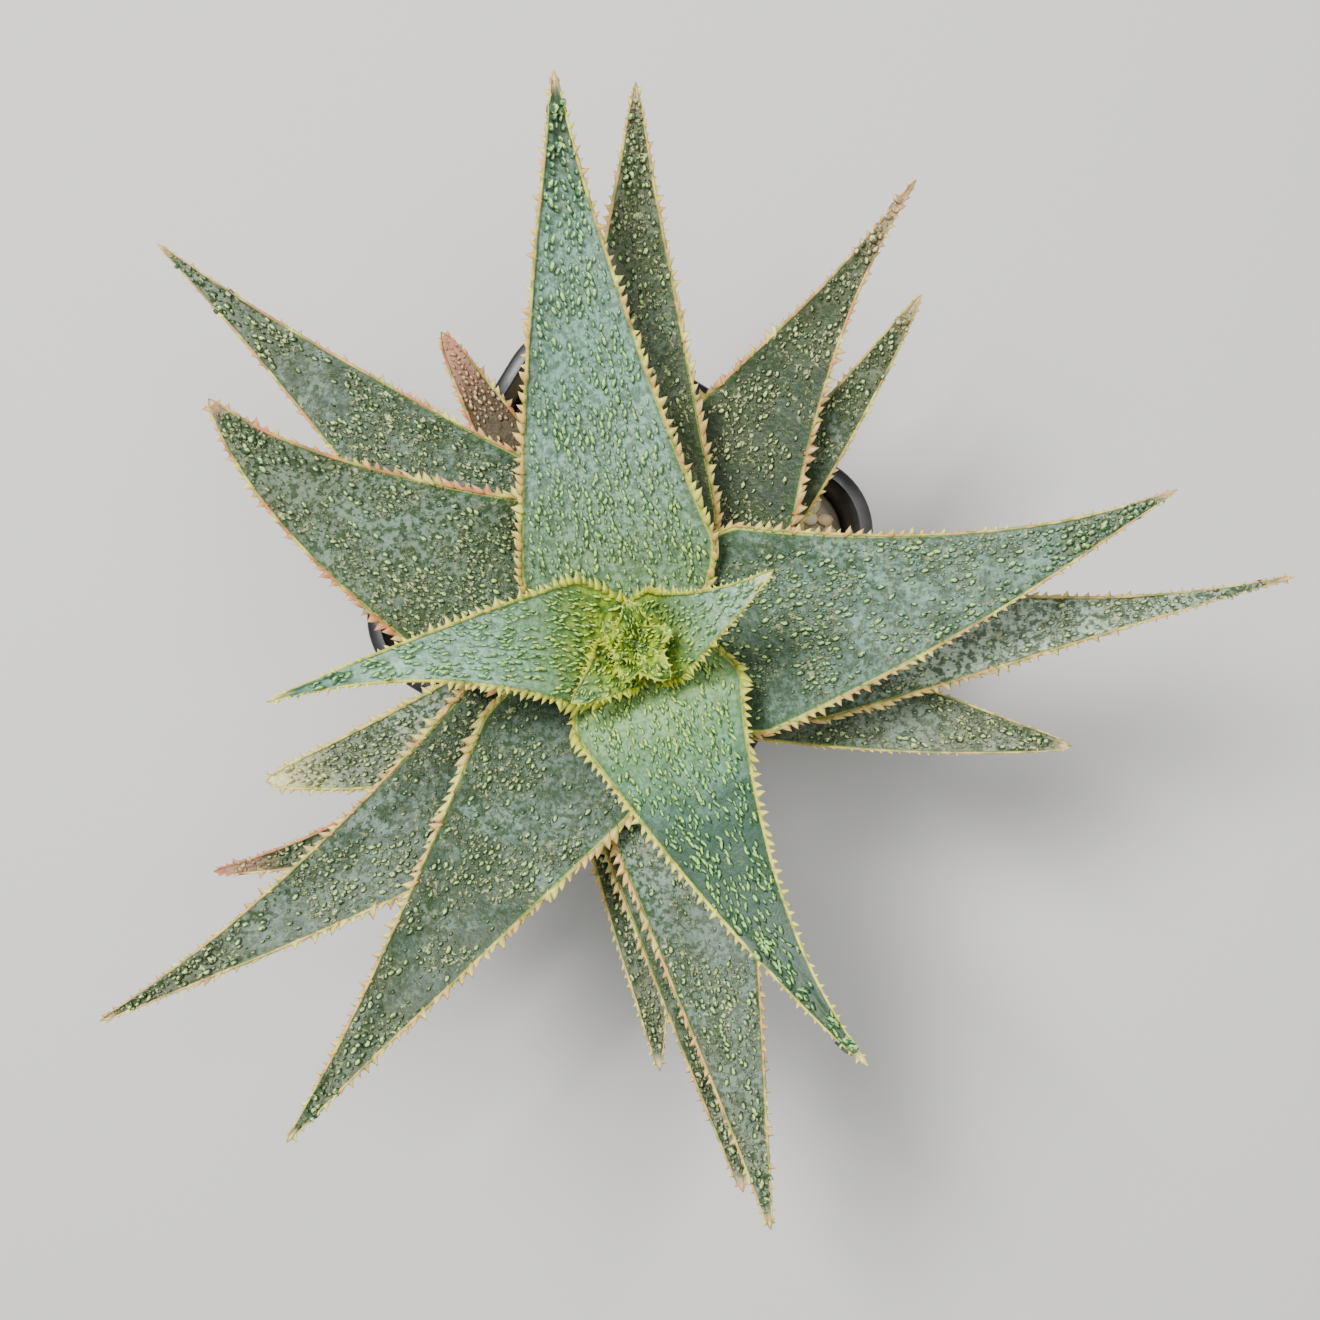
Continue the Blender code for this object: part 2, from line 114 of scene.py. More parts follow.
def settle(obj):
    """Keep what an object's modifiers make as its own plain mesh."""
    depsgraph = bpy.context.evaluated_depsgraph_get()
    mesh = bpy.data.meshes.new_from_object(obj.evaluated_get(depsgraph), depsgraph=depsgraph)
    obj.modifiers.clear()
    obj.data = mesh
    return obj


print("helpers ready, mid grey is", round(colour("808080")[0], 3))

# %% [markdown]
# ## The camera
# The photograph looks straight down. How far away it was taken isn't known, so the camera is
# put 480 mm above the rim. One of the picture's 1320 pixels is 0.219 mm at the rim, if the pot
# is 90 mm wide, and the camera is moved sideways to put the pot where the photograph has it.

# %% Camera at the photograph's viewing angle
IMAGE_SIDE = 1320
PIXEL = 90 * MM / 411.2
RIM_HEIGHT = 82 * MM
CAMERA_ABOVE_RIM = 480 * MM
POT_CENTRE_PIXEL = (619.9, 574.4)
SENSOR_MM = 36

camera = show("camera", bpy.data.cameras.new("camera"))
camera.data.sensor_width = SENSOR_MM
camera.data.lens = SENSOR_MM * CAMERA_ABOVE_RIM / (IMAGE_SIDE * PIXEL)
camera.location = (
    (IMAGE_SIDE / 2 - POT_CENTRE_PIXEL[0]) * PIXEL,
    (POT_CENTRE_PIXEL[1] - IMAGE_SIDE / 2) * PIXEL,
    RIM_HEIGHT + CAMERA_ABOVE_RIM,
)
bpy.context.scene.camera = camera
print("lens", round(camera.data.lens, 1), "mm at", [round(c, 4) for c in camera.location])

# %% [markdown]
# ## Floor and light
# A pale floor and large soft lights, as on a photographer's table. The main light hangs to the
# upper left of the picture, so that each bump of the leaves has a bright and a dark side. A
# wider and weaker one, nearly overhead, fills the shade, and so does a pale grey world.

# %% Pale floor
floor_mesh = bpy.data.meshes.new("floor")
FLOOR_HALF = 3.0
corners = [(x * FLOOR_HALF, y * FLOOR_HALF, 0) for x, y in ((-1, -1), (1, -1), (1, 1), (-1, 1))]
floor_mesh.from_pydata(corners, [], [(0, 1, 2, 3)])
floor = show("floor", floor_mesh)
floor_paint, t, shader = shader_tree("pale painted board")
fill(t, shader, {"Base Color": "d6d4cf", "Roughness": 0.9})
floor_mesh.materials.append(floor_paint)
print("floor", 2 * FLOOR_HALF, "m wide")

# %% Soft studio lights
LIGHTS = (
    ("main_light", (-0.34, 0.29, 1.12), 0.30, 19.0),
    ("fill_light", (0.16, 0.06, 1.25), 0.50, 6.5),
)
for name, place, side, power in LIGHTS:
    light = bpy.data.lights.new(name, "AREA")
    light.shape = "SQUARE"
    light.size = side
    light.energy = power
    lamp = show(name, light)
    lamp.location = place
    lamp.rotation_euler = (Vector((0, 0, RIM_HEIGHT)) - Vector(place)).to_track_quat("-Z", "Y").to_euler()
world = bpy.data.worlds.new("studio")
world.use_nodes = True
fill(world.node_tree, world.node_tree.nodes["Background"], {"Color": "eef1f4", "Strength": 0.42})
bpy.context.scene.world = world
print("lights:", [name for name, *_ in LIGHTS])

# %% [markdown]
# ## The leaves, as a table
# Each row is one leaf, youngest first, with the same sizes that the solids were made with. The
# last columns are for the finish: how old the leaf looks, how far its margin has blushed to
# salmon, how olive and weathered its face is, what share of its tip has dried, how much bloom
# lies on its base, its middle and its tip, how long its teeth are, where 1 is full, and how far
# apart its tubercles stand. A bloom below 0 is rubbed off and one above 1 is thick powder.

# %% Leaf table
CROWN_X = 4.0 * MM
CROWN_Y = -15.8 * MM
STEM_TOP = RIM_HEIGHT + 36 * MM
GRAVEL_TOP = RIM_HEIGHT - 9.5 * MM
STEM_FOOT_RADIUS = 12.0 * MM
STEM_TOP_RADIUS = 3.6 * MM
GAP = 0.3 * MM
FIRST_ROOT = STEM_TOP - 2.0 * MM
ROOT_DROP = 1.8 * MM


# Directions are in degrees and sizes in millimetres
Leaf = namedtuple(
    "Leaf",
    "root_az tip_az reach tip_rise slope half_width root_width belly taper knee roll"
    " age blush olive dry base_bloom mid_bloom tip_bloom teeth apart",
    defaults=(0, 0, 0, 0, 0.5, 0.5, 0.5, 1, 0.98),
)
LEAF_ROWS = (
    (228, 222, 17, 50, 60, 6.2, 0.85, 0.15, 0.8, 0.5, 0, 0.02, 0.1, 0, 0.1, 1.8, 1.8, 1.3, 1, 1),
    (20, 28, 29, 76, 70, 9.5, 0.95, 0.12, 1, 0.5, 0, 0.1, 0.1, 0, 0.16, 2, 2, 1.6, 1, 1.35),
    (178, 189, 67, 84, 50, 12.5, 0.66, 0.15, 1.4, 0.5, 0, 0.1, 0.1, 0, 0.07, 1.4, 1.4, 0.4, 1, 0.95),
    (290, 299, 89, 75, 44, 18, 0.6, 0.12, 1.25, 0.6, 0, 0.15, 0.15, 0, 0.05, 1.7, -0.35, -0.1, 1, 0.95),
    (103, 98, 107, 75, 35, 20, 0.55, 0.14, 1, 0.5, -30, 0.25, 0.55, 0, 0.04, 1.5, 1.15, 0, 1, 1.05),
    (237, 235, 116, 62, 18, 18, 0.32, 0.22, 1.15, 0.5, 0, 0.56, 0.5, 0.4, 0.03, 1.1, 0.1, 0.3, 0.9),
    (7, 16, 108, 60, 20, 21.5, 0.38, 0.18, 1.2, 0.6, 25, 0.42, 0.6, 0.2, 0.05, 0.3, 0.7, 0.5, 0.7),
    (160, 150, 95, 57, 20, 19.5, 0.55, 0.3, 0.9, 0.75, 0, 0.55, 0.9, 0.7, 0.05, 0.7, 1.15, 1.1, 0.95),
    (284, 283, 119, 45, 18, 16, 0.65, 0.2, 1, 0.5, 0, 0.6, 0.6, 0.5, 0.03, 1.7, 1, 1.3, 0.8),
    (91, 90, 111, 48, 17, 17, 0.65, 0.2, 1, 0.5, -25, 0.6, 0.55, 0.8, 0.06, 0.3, 0.55, 1.2, 0.9),
    (222, 215, 132, 38, 15, 17, 0.7, 0.2, 1.2, 0.5, 0, 0.75, 0.6, 0.2, 0.03, 0.3, 0.7, -0.3, 0.9),
    (359, 6, 135, 32, 15, 15.5, 0.75, 0.25, 1.6, 0.5, 0, 0.7, 0.5, 0.2, 0.05, 0.3, 2, 1.5, 0.8),
    (141, 140, 127, 35, 13, 15.5, 0.75, 0.3, 1.25, 0.5, 0, 0.7, 0.8, 0.3, 0.04, 1.1, 0.4, 1.2, 0.7),
    (281, 281, 115, 27, 12, 17, 0.7, 0.2, 0.9, 0.5, 0, 0.8, 0.5, 0.5, 0.04, 2.2, 0.6, 2.3, 0.7),
    (63, 59, 109, 40, 11, 17, 0.7, 0.3, 1.6, 0.5, 0, 0.9, 0.75, 0.4, 0.2, -0.8, -0.2, 0.7, 0.85),
    (208, 200, 83, 20, 11, 13, 0.8, 0.2, 0.7, 0.5, 0, 0.8, 0.2, 0.6, 0.2, 0.4, 1.6, 1.8, 1),
    (343, 347, 94, 18, 10, 12.5, 0.85, 0.2, 0.8, 0.5, 0, 0.8, 0.4, 0.6, 0.05, -0.4, 1.3, 2.4, 0.5),
    (124, 122, 78, 18, 10, 9, 0.95, 0.1, 0.65, 0.5, 0, 0.95, 1, 1, 0.85, -0.4, -0.4, 0.1, 1.2),
    (270, 273, 90, 16, 9, 15, 0.75, 0.2, 1, 0.5, 0, 0.85, 0.4, 0.6, 0.05, 1.4, 0.7, 0.6, 0.7),
    (45, 51, 93, 29, 9, 10.5, 0.95, 0.1, 0.9, 0.5, 0, 0.8, 0.5, 0.6, 0.12, -0.5, 0.3, 0.4, 0.8),
    (221, 208, 102, 14, 17, 9, 0.95, 0.2, 0.9, 0.6, 0, 0.85, 1, 0.4, 0.16, 0, 0.1, 0.3, 1.15),
    (138, 138, 103, 12, 14, 9, 0.95, 0.2, 0.9, 0.5, 0, 0.85, 1, 0.8, 0.3, 0, 0.7, 0.7, 1.15),
)
LEAVES = [Leaf(*row) for row in LEAF_ROWS]
print("leaves in the table:", len(LEAVES))

# %% Where a leaf starts, bends and ends
CLASP = 0.8


def heading(azimuth):
    """The level direction of an azimuth in degrees, anticlockwise from +X seen from above."""
    angle = math.radians(azimuth)
    return Vector((math.cos(angle), math.sin(angle), 0.0))


def crown(height):
    """The point of the stem's axis at a height."""
    return Vector((CROWN_X, CROWN_Y, height))


def stem_radius(height):
    """The stem's radius at a height: straight in the soil, then narrowing to the top."""
    share = max(0.0, (height - GRAVEL_TOP) / (STEM_TOP - GRAVEL_TOP))
    return STEM_FOOT_RADIUS + (STEM_TOP_RADIUS - STEM_FOOT_RADIUS) * share


def midline(leaf, root_height, root_radius):
    """The three points of a leaf's curved middle line: its root, its knee and its tip."""
    out = heading(leaf.root_az)
    root = crown(root_height) + out * root_radius
    tip = crown(RIM_HEIGHT + leaf.tip_rise * MM) + heading(leaf.tip_az) * leaf.reach * MM
    span = (tip - root).xy.length * leaf.knee
    return root, root + (out + UP * math.tan(math.radians(leaf.slope))) * span, tip


print("stem at the gravel:", stem_radius(GRAVEL_TOP) / MM, "mm in radius")

# %% [markdown]
# ## One tree that grows a leaf
# A leaf could be sculpted or modelled by hand, but twenty-two of them follow one rule: a middle
# line, a width that narrows to a point, and a section that is hollow above and round below. So
# the rule is written once, as fields. Each field reads two attributes, how far along the leaf a
# point is and how far across, and the same fields then place the skin, the horny margin, its
# teeth and the tubercles.

# %% Inputs of the leaf tree
leaf_tree = bpy.data.node_groups.new("aloe leaf", "GeometryNodeTree")
LEAF_INPUTS = {
    "Vector": ("Root", "Knee", "Tip", "Out"),
    "Int": ("Rings", "Seed"),
    "Float": (
        *("Half Width", "Root Width", "Belly", "Taper", "Roll", "Clasp"),
        *("Tooth Length", "Tooth Pitch", "Tubercle Size", "Tubercle Spacing"),
        *("Age", "Blush", "Olive", "Dry", "Base Bloom", "Mid Bloom", "Tip Bloom"),
    ),
}


def open_tree(tree, inputs):
    """Give a tree named inputs, listed by what they take, and one output for its geometry."""
    sockets = [(label, "INPUT", kind) for kind, labels in inputs.items() for label in labels]
    for label, in_out, kind in (*sockets, ("Geometry", "OUTPUT", "Geometry")):
        tree.interface.new_socket(name=label, in_out=in_out, socket_type=f"NodeSocket{kind}")
    return tree.nodes.new("NodeGroupInput").outputs


given = open_tree(leaf_tree, LEAF_INPUTS)
print("leaf tree inputs:", len(given) - 1)

# %% Middle line, and the directions at each point of it
t = leaf_tree
ATTRIBUTES = ("along", "across", "under", "opened")
along, across, under, opened = (add(t, "InputNamedAttribute", [label]) for label in ATTRIBUTES)
middle = add(t, "CurveQuadraticBezier", [96, given["Root"], given["Knee"], given["Tip"]])
at = add(t, "SampleCurve", {"Curves": middle, "Factor": along}, mode="FACTOR")
tangent = at.outputs["Tangent"]
level_side = add(t, "VectorMath", [tangent, (0, 0, 1)], "CROSS_PRODUCT")
flat_side = add(t, "VectorMath", [level_side], "NORMALIZE")
flat_up = add(t, "VectorMath", [flat_side, tangent], "CROSS_PRODUCT")
turned = add(t, "Math", [along, along], "*")
roll = add(t, "Math", [turned, given["Roll"]], "*")
side, up = (
    add(t, "VectorRotate", {"Vector": flat, "Axis": tangent, "Angle": roll})
    for flat in (flat_side, flat_up)
)
print("middle line:", len(t.nodes), "nodes")

# %% Width of the leaf
BLUNT_TIP = 0.35 * MM
NARROW = 3.5 * MM
CLOSING_SHARE = 0.012
to_tip = add(t, "Math", [1, along], "-")
fall = add(t, "Math", [to_tip, add(t, "Math", [1, given["Belly"]], "-")], "/")
tapered = add(t, "Math", [fall, given["Taper"]], "POWER")
narrowed = add(t, "Math", [tapered, 1], "MINIMUM")
to_root = add(t, "Math", [1, add(t, "Math", [along, given["Belly"]], "/")], "-", use_clamp=True)
to_root_squared = add(t, "Math", [to_root, to_root], "*")
drawn_in = add(t, "Math", [to_root_squared, add(t, "Math", [1, given["Root Width"]], "-")], "*")
kept = add(t, "Math", [1, drawn_in], "-")
pointed_width = add(t, "Math", [add(t, "Math", [narrowed, kept], "*"), given["Half Width"]], "*")
near_point = add(t, "MapRange", [pointed_width, 0, NARROW, 1, 0])
closing_round = add(t, "Math", [add(t, "MapRange", [to_tip, 0, CLOSING_SHARE]), 0.5], "POWER")
blunt = add(t, "Math", [add(t, "Math", [near_point, closing_round], "*"), BLUNT_TIP], "*")
width = add(t, "Math", [pointed_width, blunt], "+")
print("width:", len(t.nodes), "nodes")

# %% Thickness of the leaf
THICKNESS_SHARE = 0.36
FULL_AT = 0.36
ROOT_THICKNESS = 2.8 * MM
THINNING_POWER = 0.8
full = add(t, "Math", [given["Half Width"], THICKNESS_SHARE], "*")
at_root = add(t, "Math", [full, ROOT_THICKNESS], "MINIMUM")
filled = add(t, "Math", [along, FULL_AT], "/", use_clamp=True)
swelling = add(t, "Math", [add(t, "Math", [filled, math.pi / 2], "*")], "SINE")
swell = add(t, "MapRange", [swelling, 0, 1, at_root, full])
past_full = add(t, "Math", [to_tip, 1 - FULL_AT], "/", use_clamp=True)
pointed_thick = add(t, "Math", [swell, add(t, "Math", [past_full, THINNING_POWER], "POWER")], "*")
thick = add(t, "Math", [pointed_thick, blunt], "+")
print("thickness:", len(t.nodes), "nodes")

# %% Section of the leaf: hollow above, round below
CHANNEL = 0.16
UNEVEN = 0.35 * MM
HOLLOW_POWER = 1.6
BELLY_POWER = 2.2
WAVES = (9, 1.6, 7.3)
out_from_middle = add(t, "Math", [across], "ABSOLUTE")
hollow_width = add(t, "Math", [add(t, "Math", [out_from_middle, HOLLOW_POWER], "POWER"), width], "*")
top_height = add(t, "Math", [hollow_width, add(t, "Math", [filled, CHANNEL], "*")], "*")
round_share = add(t, "Math", [1, add(t, "Math", [out_from_middle, BELLY_POWER], "POWER")], "-")
below = add(t, "Math", [round_share, thick], "*")
even_height = add(t, "Math", [top_height, add(t, "Math", [below, under], "*")], "-")
wave_place = add(t, "CombineXYZ", [along, across, given["Seed"]])
wave = add(t, "TexNoise", [add(t, "VectorMath", [wave_place, WAVES], "*"), 1, 1])
calm_root = add(t, "Math", [add(t, "MapRange", [wave, 0.3, 0.7, -UNEVEN, UNEVEN]), filled], "*")
open_height = add(t, "Math", [even_height, calm_root], "+")
height = add(t, "MapRange", [opened, 0, 1, add(t, "Math", [thick, -0.5], "*"), open_height])
sideways = add(t, "Math", [across, width], "*")
open_sideways = add(t, "Math", [sideways, opened], "*")
print("section:", len(t.nodes), "nodes")

# %% The place of a point of the skin, from those fields
CLASP_END = 0.15
hold = add(t, "Math", [1, add(t, "Math", [along, CLASP_END], "/")], "-", use_clamp=True)
hold_twice = add(t, "Math", [hold, hold], "*")
hold_at_margin = add(t, "Math", [hold_twice, add(t, "Math", [across, across], "*")], "*")
drawn_back = add(t, "Math", [add(t, "Math", [hold_at_margin, opened], "*"), given["Clasp"]], "*")
back = add(t, "VectorMath", {0: given["Out"], "Scale": drawn_back}, "SCALE")
to_side = add(t, "VectorMath", {0: side, "Scale": open_sideways}, "SCALE")
upward = add(t, "VectorMath", {0: up, "Scale": height}, "SCALE")
off_stem = add(t, "VectorMath", [add(t, "VectorMath", [to_side, upward], "+"), back], "-")
skin_place = add(t, "VectorMath", [at.outputs["Position"], off_stem], "+")
print("place of the skin:", len(t.nodes), "nodes")

# %% The skin: a grid rolled into a closed, pointed tube
COLUMNS = 36
ring_count = add(t, "Math", [given["Rings"], 1], "-")
grid = add(t, "MeshGrid", [1, 1, given["Rings"], COLUMNS + 1])
flat = add(t, "SeparateXYZ", [add(t, "InputPosition")])
ring = add(t, "Math", [add(t, "Math", [flat.outputs["X"], 0.5], "+"), ring_count], "*")
ring_after_cap = add(t, "Math", [ring, 1], "-")
open_rings = add(t, "Math", [ring_count, 1], "-")
around = add(t, "Math", [flat.outputs["Y"], 0.5], "+")
around_cosine = add(t, "Math", [add(t, "Math", [around, 2 * math.pi], "*")], "COSINE")
GRID_FIELDS = {
    "opened": add(t, "Math", [ring, 0.5], ">"),
    "across": add(t, "Math", [around_cosine, -1], "*"),
    "under": add(t, "Math", [around, 0.501], ">"),
    "along": add(t, "Math", [ring_after_cap, open_rings], "/", use_clamp=True),
}
skin = grid
for label, value in GRID_FIELDS.items():
    skin = add(t, "StoreNamedAttribute", [skin, None, label, value])
skin = add(t, "SetPosition", [skin, None, skin_place])
skin = add(t, "MergeByDistance", [skin, None, 0.004 * MM])
skin = add(t, "FlipFaces", [skin])
print("skin:", len(t.nodes), "nodes")

# %% [markdown]
# ## Horny margins and their teeth
# Both margins are edged by a pale cord of horn, which carries a row of flat, hooked teeth that
# lean to the tip. The cord is a small circle swept along the margin, and one tooth of some
# thirty triangles is placed about every two millimetres along the same line. Teeth differ in size
# at random, are smaller towards the tip, and stand on a broader foot on an old leaf.

# %% A tooth: a flattened, hooked cone
TOOTH_SIDES = 6
TOOTH_LEAN = 0.9
TOOTH_FLATNESS = 0.36
TOOTH_SUNK = 0.15
tooth = add(t, "MeshCone", [TOOTH_SIDES, 3, 1, 0, 1, 1])
cone = add(t, "SeparateXYZ", [add(t, "InputPosition")])
rise = add(t, "Math", [cone.outputs["Z"], 0], "+", use_clamp=True)
rise_squared = add(t, "Math", [rise, rise], "*")
tooth_lean = add(t, "Math", [rise_squared, TOOTH_LEAN], "*")
tooth_fullness = add(t, "MapRange", [rise, 0, 1, 0.7, 1.3])
tooth_foot = add(t, "Math", [cone.outputs["X"], tooth_fullness], "*")
tooth_x = add(t, "Math", [tooth_foot, tooth_lean], "+")
tooth_y = add(t, "Math", [cone.outputs["Y"], TOOTH_FLATNESS], "*")
tooth_z = add(t, "MapRange", [rise, 0, 1, -TOOTH_SUNK, 1])
tooth_place = add(t, "CombineXYZ", [tooth_x, tooth_y, tooth_z])
tooth = add(t, "StoreNamedAttribute", [tooth, None, "rise", rise])
tooth = add(t, "SetPosition", [tooth, None, tooth_place])
print("tooth:", len(t.nodes), "nodes")

# %% The margins, their cords of horn and their teeth
HORN_RADIUS = 0.42 * MM
LIME_FROM = 8 * MM
LIME_REACH = 38 * MM
YOUNG_TOOTH = 1.3
thinned = add(t, "Math", [width, NARROW], "/", use_clamp=True)
cord_growth = add(t, "MapRange", [given["Tooth Length"], 0.7 * MM, 1.7 * MM, 0.55, 0.9])
cord_scale = add(t, "MapRange", [thinned, 0, 1, 0.3, cord_growth])
cord_circle = add(t, "CurvePrimitiveCircle", [6, HORN_RADIUS])
random_size = add(t, "RandomValue", {"Min": 0.65, "Max": 1.15, "Seed": given["Seed"]})
tooth_room = add(t, "MapRange", [thinned, 0, 1, 0.7, 1])
crown_gap = add(t, "VectorMath", [at.outputs["Position"], tuple(crown(STEM_TOP))], "DISTANCE")
near_crown = add(t, "MapRange", [crown_gap, LIME_FROM, LIME_REACH, 1, 0])
lime = add(t, "Math", [near_crown, add(t, "MapRange", [given["Age"], 0.05, 0.45, 1, 0])], "*")
tooth_growth = add(t, "MapRange", [lime, 0.3, 1, 1, YOUNG_TOOTH])
tooth_size = add(t, "Math", [random_size, tooth_room], "*")
shorter_out = add(t, "MapRange", [along, 0.35, 0.75, 1.05, 0.68])
tooth_grown = add(t, "Math", [add(t, "Math", [tooth_size, shorter_out], "*"), tooth_growth], "*")
tooth_height = add(t, "Math", [tooth_grown, given["Tooth Length"]], "*")
tooth_breadth = add(t, "MapRange", [given["Age"], 0.15, 0.5, 0.9, 1.45])
tooth_broad = add(t, "Math", [tooth_height, tooth_breadth], "*")
tooth_scale = add(t, "CombineXYZ", [tooth_broad, tooth_height, tooth_height])
# The most that a tooth and a tubercle are turned at random, in radians
TWISTS = ((0.5, 0.45, 0.3), (0.2, 0.2, 0.45))
tooth_twist, bump_twist = (
    add(t, "RandomValue", {"Min": [-a for a in most], "Max": most, "Seed": given["Seed"]}, "FLOAT_VECTOR")
    for most in TWISTS
)
before_tip = add(t, "Math", [along, 0.985], "<")
margins = []
for edge in (-1.0, 1.0):
    line = add(t, "CurvePrimitiveLine")
    line = add(t, "ResampleCurve", [line, None, given["Rings"]])
    factor = add(t, "SplineParameter")
    for label, value in (("opened", 1.0), ("across", edge), ("under", 0.0), ("along", factor)):
        line = add(t, "StoreNamedAttribute", [line, None, label, value])
    line = add(t, "SetPosition", [line, None, skin_place])
    cord = add(t, "CurveToMesh", [line, cord_circle, cord_scale, True])
    cord = add(t, "StoreNamedAttribute", [cord, None, "rise", 0])
    spots = add(t, "ResampleCurve", [line, None, given["Tooth Pitch"]], "LENGTH")
    outward = add(t, "VectorMath", {0: side, "Scale": edge}, "SCALE")
    stance = add(t, "AxesToRotation", [outward, tangent], primary_axis="Z", secondary_axis="X")
    teeth = [spots, before_tip, tooth, None, None, stance, tooth_scale]
    teeth = add(t, "InstanceOnPoints", teeth)
    teeth = add(t, "RotateInstances", {"Instances": teeth, "Rotation": tooth_twist})
    margins += [cord, add(t, "RealizeInstances", [teeth])]
print("margins:", len(t.nodes), "nodes")

# %% [markdown]
# ## Tubercles
# Both faces carry small raised points that lean to the tip, with a pale chalky top and a dark
# foot, partly bare of bloom and partly painted shade, and far fewer of them below. They are
# scattered over the skin at a least distance from each other and turned along the leaf. On a
# young leaf more are kept along bent rows across it, and on an old one in groups, until they
# crowd together near the tip.

# %% A tubercle: a low bump with a pale top
TUBERCLE_SIDES = 6
TUBERCLE_LEAN = 0.4
TUBERCLE_FLATNESS = 0.42
bump = add(t, "MeshCone", [TUBERCLE_SIDES, 2, 1, 0, 1, 1])
bump_swell = add(t, "MapRange", [rise, 0, 1, 1, 1.5])
bump_lean = add(t, "Math", [rise_squared, TUBERCLE_LEAN], "*")
bump_x = add(t, "Math", [add(t, "Math", [cone.outputs["X"], bump_swell], "*"), bump_lean], "+")
bump_y = add(t, "Math", [add(t, "Math", [cone.outputs["Y"], bump_swell], "*"), TUBERCLE_FLATNESS], "*")
cone_fall = add(t, "Math", [1, rise], "-")
bump_curve = add(t, "MapRange", [add(t, "Math", [cone_fall, cone_fall], "*"), 0, 1, 0.85, -0.3])
bump_place = add(t, "CombineXYZ", [bump_x, bump_y, bump_curve])
bump = add(t, "StoreNamedAttribute", [bump, None, "rise", rise])
bump = add(t, "SetPosition", [bump, None, bump_place])
print("tubercle:", len(t.nodes), "nodes")

# %% Tubercles scattered over the skin
ROW_PITCH = 2.1 * MM
from_margin = add(t, "MapRange", [out_from_middle, 0.84, 0.93, 1, 0])
from_root = add(t, "MapRange", [along, 0, 0.04])
off_margin = add(t, "Math", [from_margin, add(t, "Math", [along, 0.955], "<")], "*")
clear = add(t, "Math", [off_margin, from_root], "*")
evenly = add(t, "Math", [clear, add(t, "MapRange", [under, 0, 1, 1, 0.02])], "*")
groups = add(t, "TexNoise", {"Scale": 90, "Detail": 3})
grouped = add(t, "MapRange", [groups, 0.43, 0.56, 0.18, 1])
before_crowding = add(t, "MapRange", [along, 0.65, 0.85, 1, 0])
mature = add(t, "MapRange", [given["Age"], 0.1, 0.4])
grouping = add(t, "Math", [mature, before_crowding], "*")
row_place = add(t, "Math", [crown_gap, 2 * math.pi / ROW_PITCH], "*")
row_bent = add(t, "Math", [row_place, add(t, "Math", [groups, 12], "*")], "+")
in_row = add(t, "MapRange", [add(t, "Math", [row_bent], "SINE"), -0.7, -0.1, 0.25, 1])
rowed = add(t, "Mix", [mature, in_row, 1])
kept_points = add(t, "Mix", [grouping, rowed, grouped])
density = add(t, "Math", [evenly, kept_points], "*")
scattered = {"Mesh": skin, "Distance Min": given["Tubercle Spacing"], "Density Max": 4.0e6}
scattered |= {"Density Factor": density, "Seed": given["Seed"]}
scatter = add(t, "DistributePointsOnFaces", scattered, distribute_method="POISSON")
bump_stance = [scatter.outputs["Normal"], tangent]
bump_stance = add(t, "AxesToRotation", bump_stance, primary_axis="Z", secondary_axis="X")
bump_random = add(t, "RandomValue", {"Min": 0, "Max": 1, "Seed": given["Seed"]})
bump_random_squared = add(t, "Math", [bump_random, bump_random], "*")
smallest = add(t, "MapRange", [given["Age"], 0.1, 0.5, 0.7, 0.45])
bump_share = add(t, "MapRange", [bump_random_squared, 0, 1, smallest, 1.15])
bump_size = add(t, "Math", [bump_share, add(t, "MapRange", [thinned, 0, 1, 0.9, 1])], "*")
bump_grown = add(t, "Math", [bump_size, add(t, "MapRange", [given["Age"], 0.1, 0.5, 1.55, 1])], "*")
bump_length = add(t, "Math", [bump_grown, given["Tubercle Size"]], "*")
bump_risen = add(t, "Math", [bump_size, add(t, "MapRange", [along, 0.6, 0.95, 1.3, 2.2])], "*")
bump_rise = add(t, "Math", [bump_risen, given["Tubercle Size"]], "*")
bump_plumpness = add(t, "MapRange", [given["Age"], 0.1, 0.5, 0.66, 1.25])
bump_width = add(t, "Math", [bump_length, bump_plumpness], "*")
bump_scale = add(t, "CombineXYZ", [bump_length, bump_width, bump_rise])
bumps = add(t, "StoreNamedAttribute", [scatter.outputs["Points"], None, "tone", bump_random])
bumps = add(t, "InstanceOnPoints", [bumps, None, bump, None, None, bump_stance, bump_scale])
bumps = add(t, "RotateInstances", {"Instances": bumps, "Rotation": bump_twist})
bumps = add(t, "RealizeInstances", [bumps])
print("tubercles:", len(t.nodes), "nodes")

# %% [markdown]
# ## Finishes of a leaf
# A star aloe's skin is a waxy cuticle under a powdery bloom: it is satin, not glossy, blue green
# where the bloom is whole and dark green where it is rubbed off. Young leaves are lime green at
# their foot and old ones turn olive; an old leaf's root is darkened with painted shade, where the
# upper leaves shade it, and partly because old leaves are darker there. Crusts of pale scurf,
# each with a painted shadow beside it, spread over old leaves, and the tip dries to a brown husk
# with a cream end. The margin is horn, cream on young leaves and salmon on old ones. Every finish
# reads the attributes that the leaf tree stores, so one material serves all the leaves.
# The noises' scales are counts in a metre: 90 gives patches of about 11 mm, 165 of 6 mm, 420 of
# 2.4 mm and 850 of 1.2 mm.

# %% What the leaf finishes share
def read_leaf(t, labels):
    """The attributes that the leaf tree stores, by name, and the place on the leaf."""
    fields = {label: add(t, "Attribute", attribute_name=label).outputs["Fac"] for label in labels.split()}
    return SimpleNamespace(place=add(t, "TexCoord").outputs["Object"], **fields)


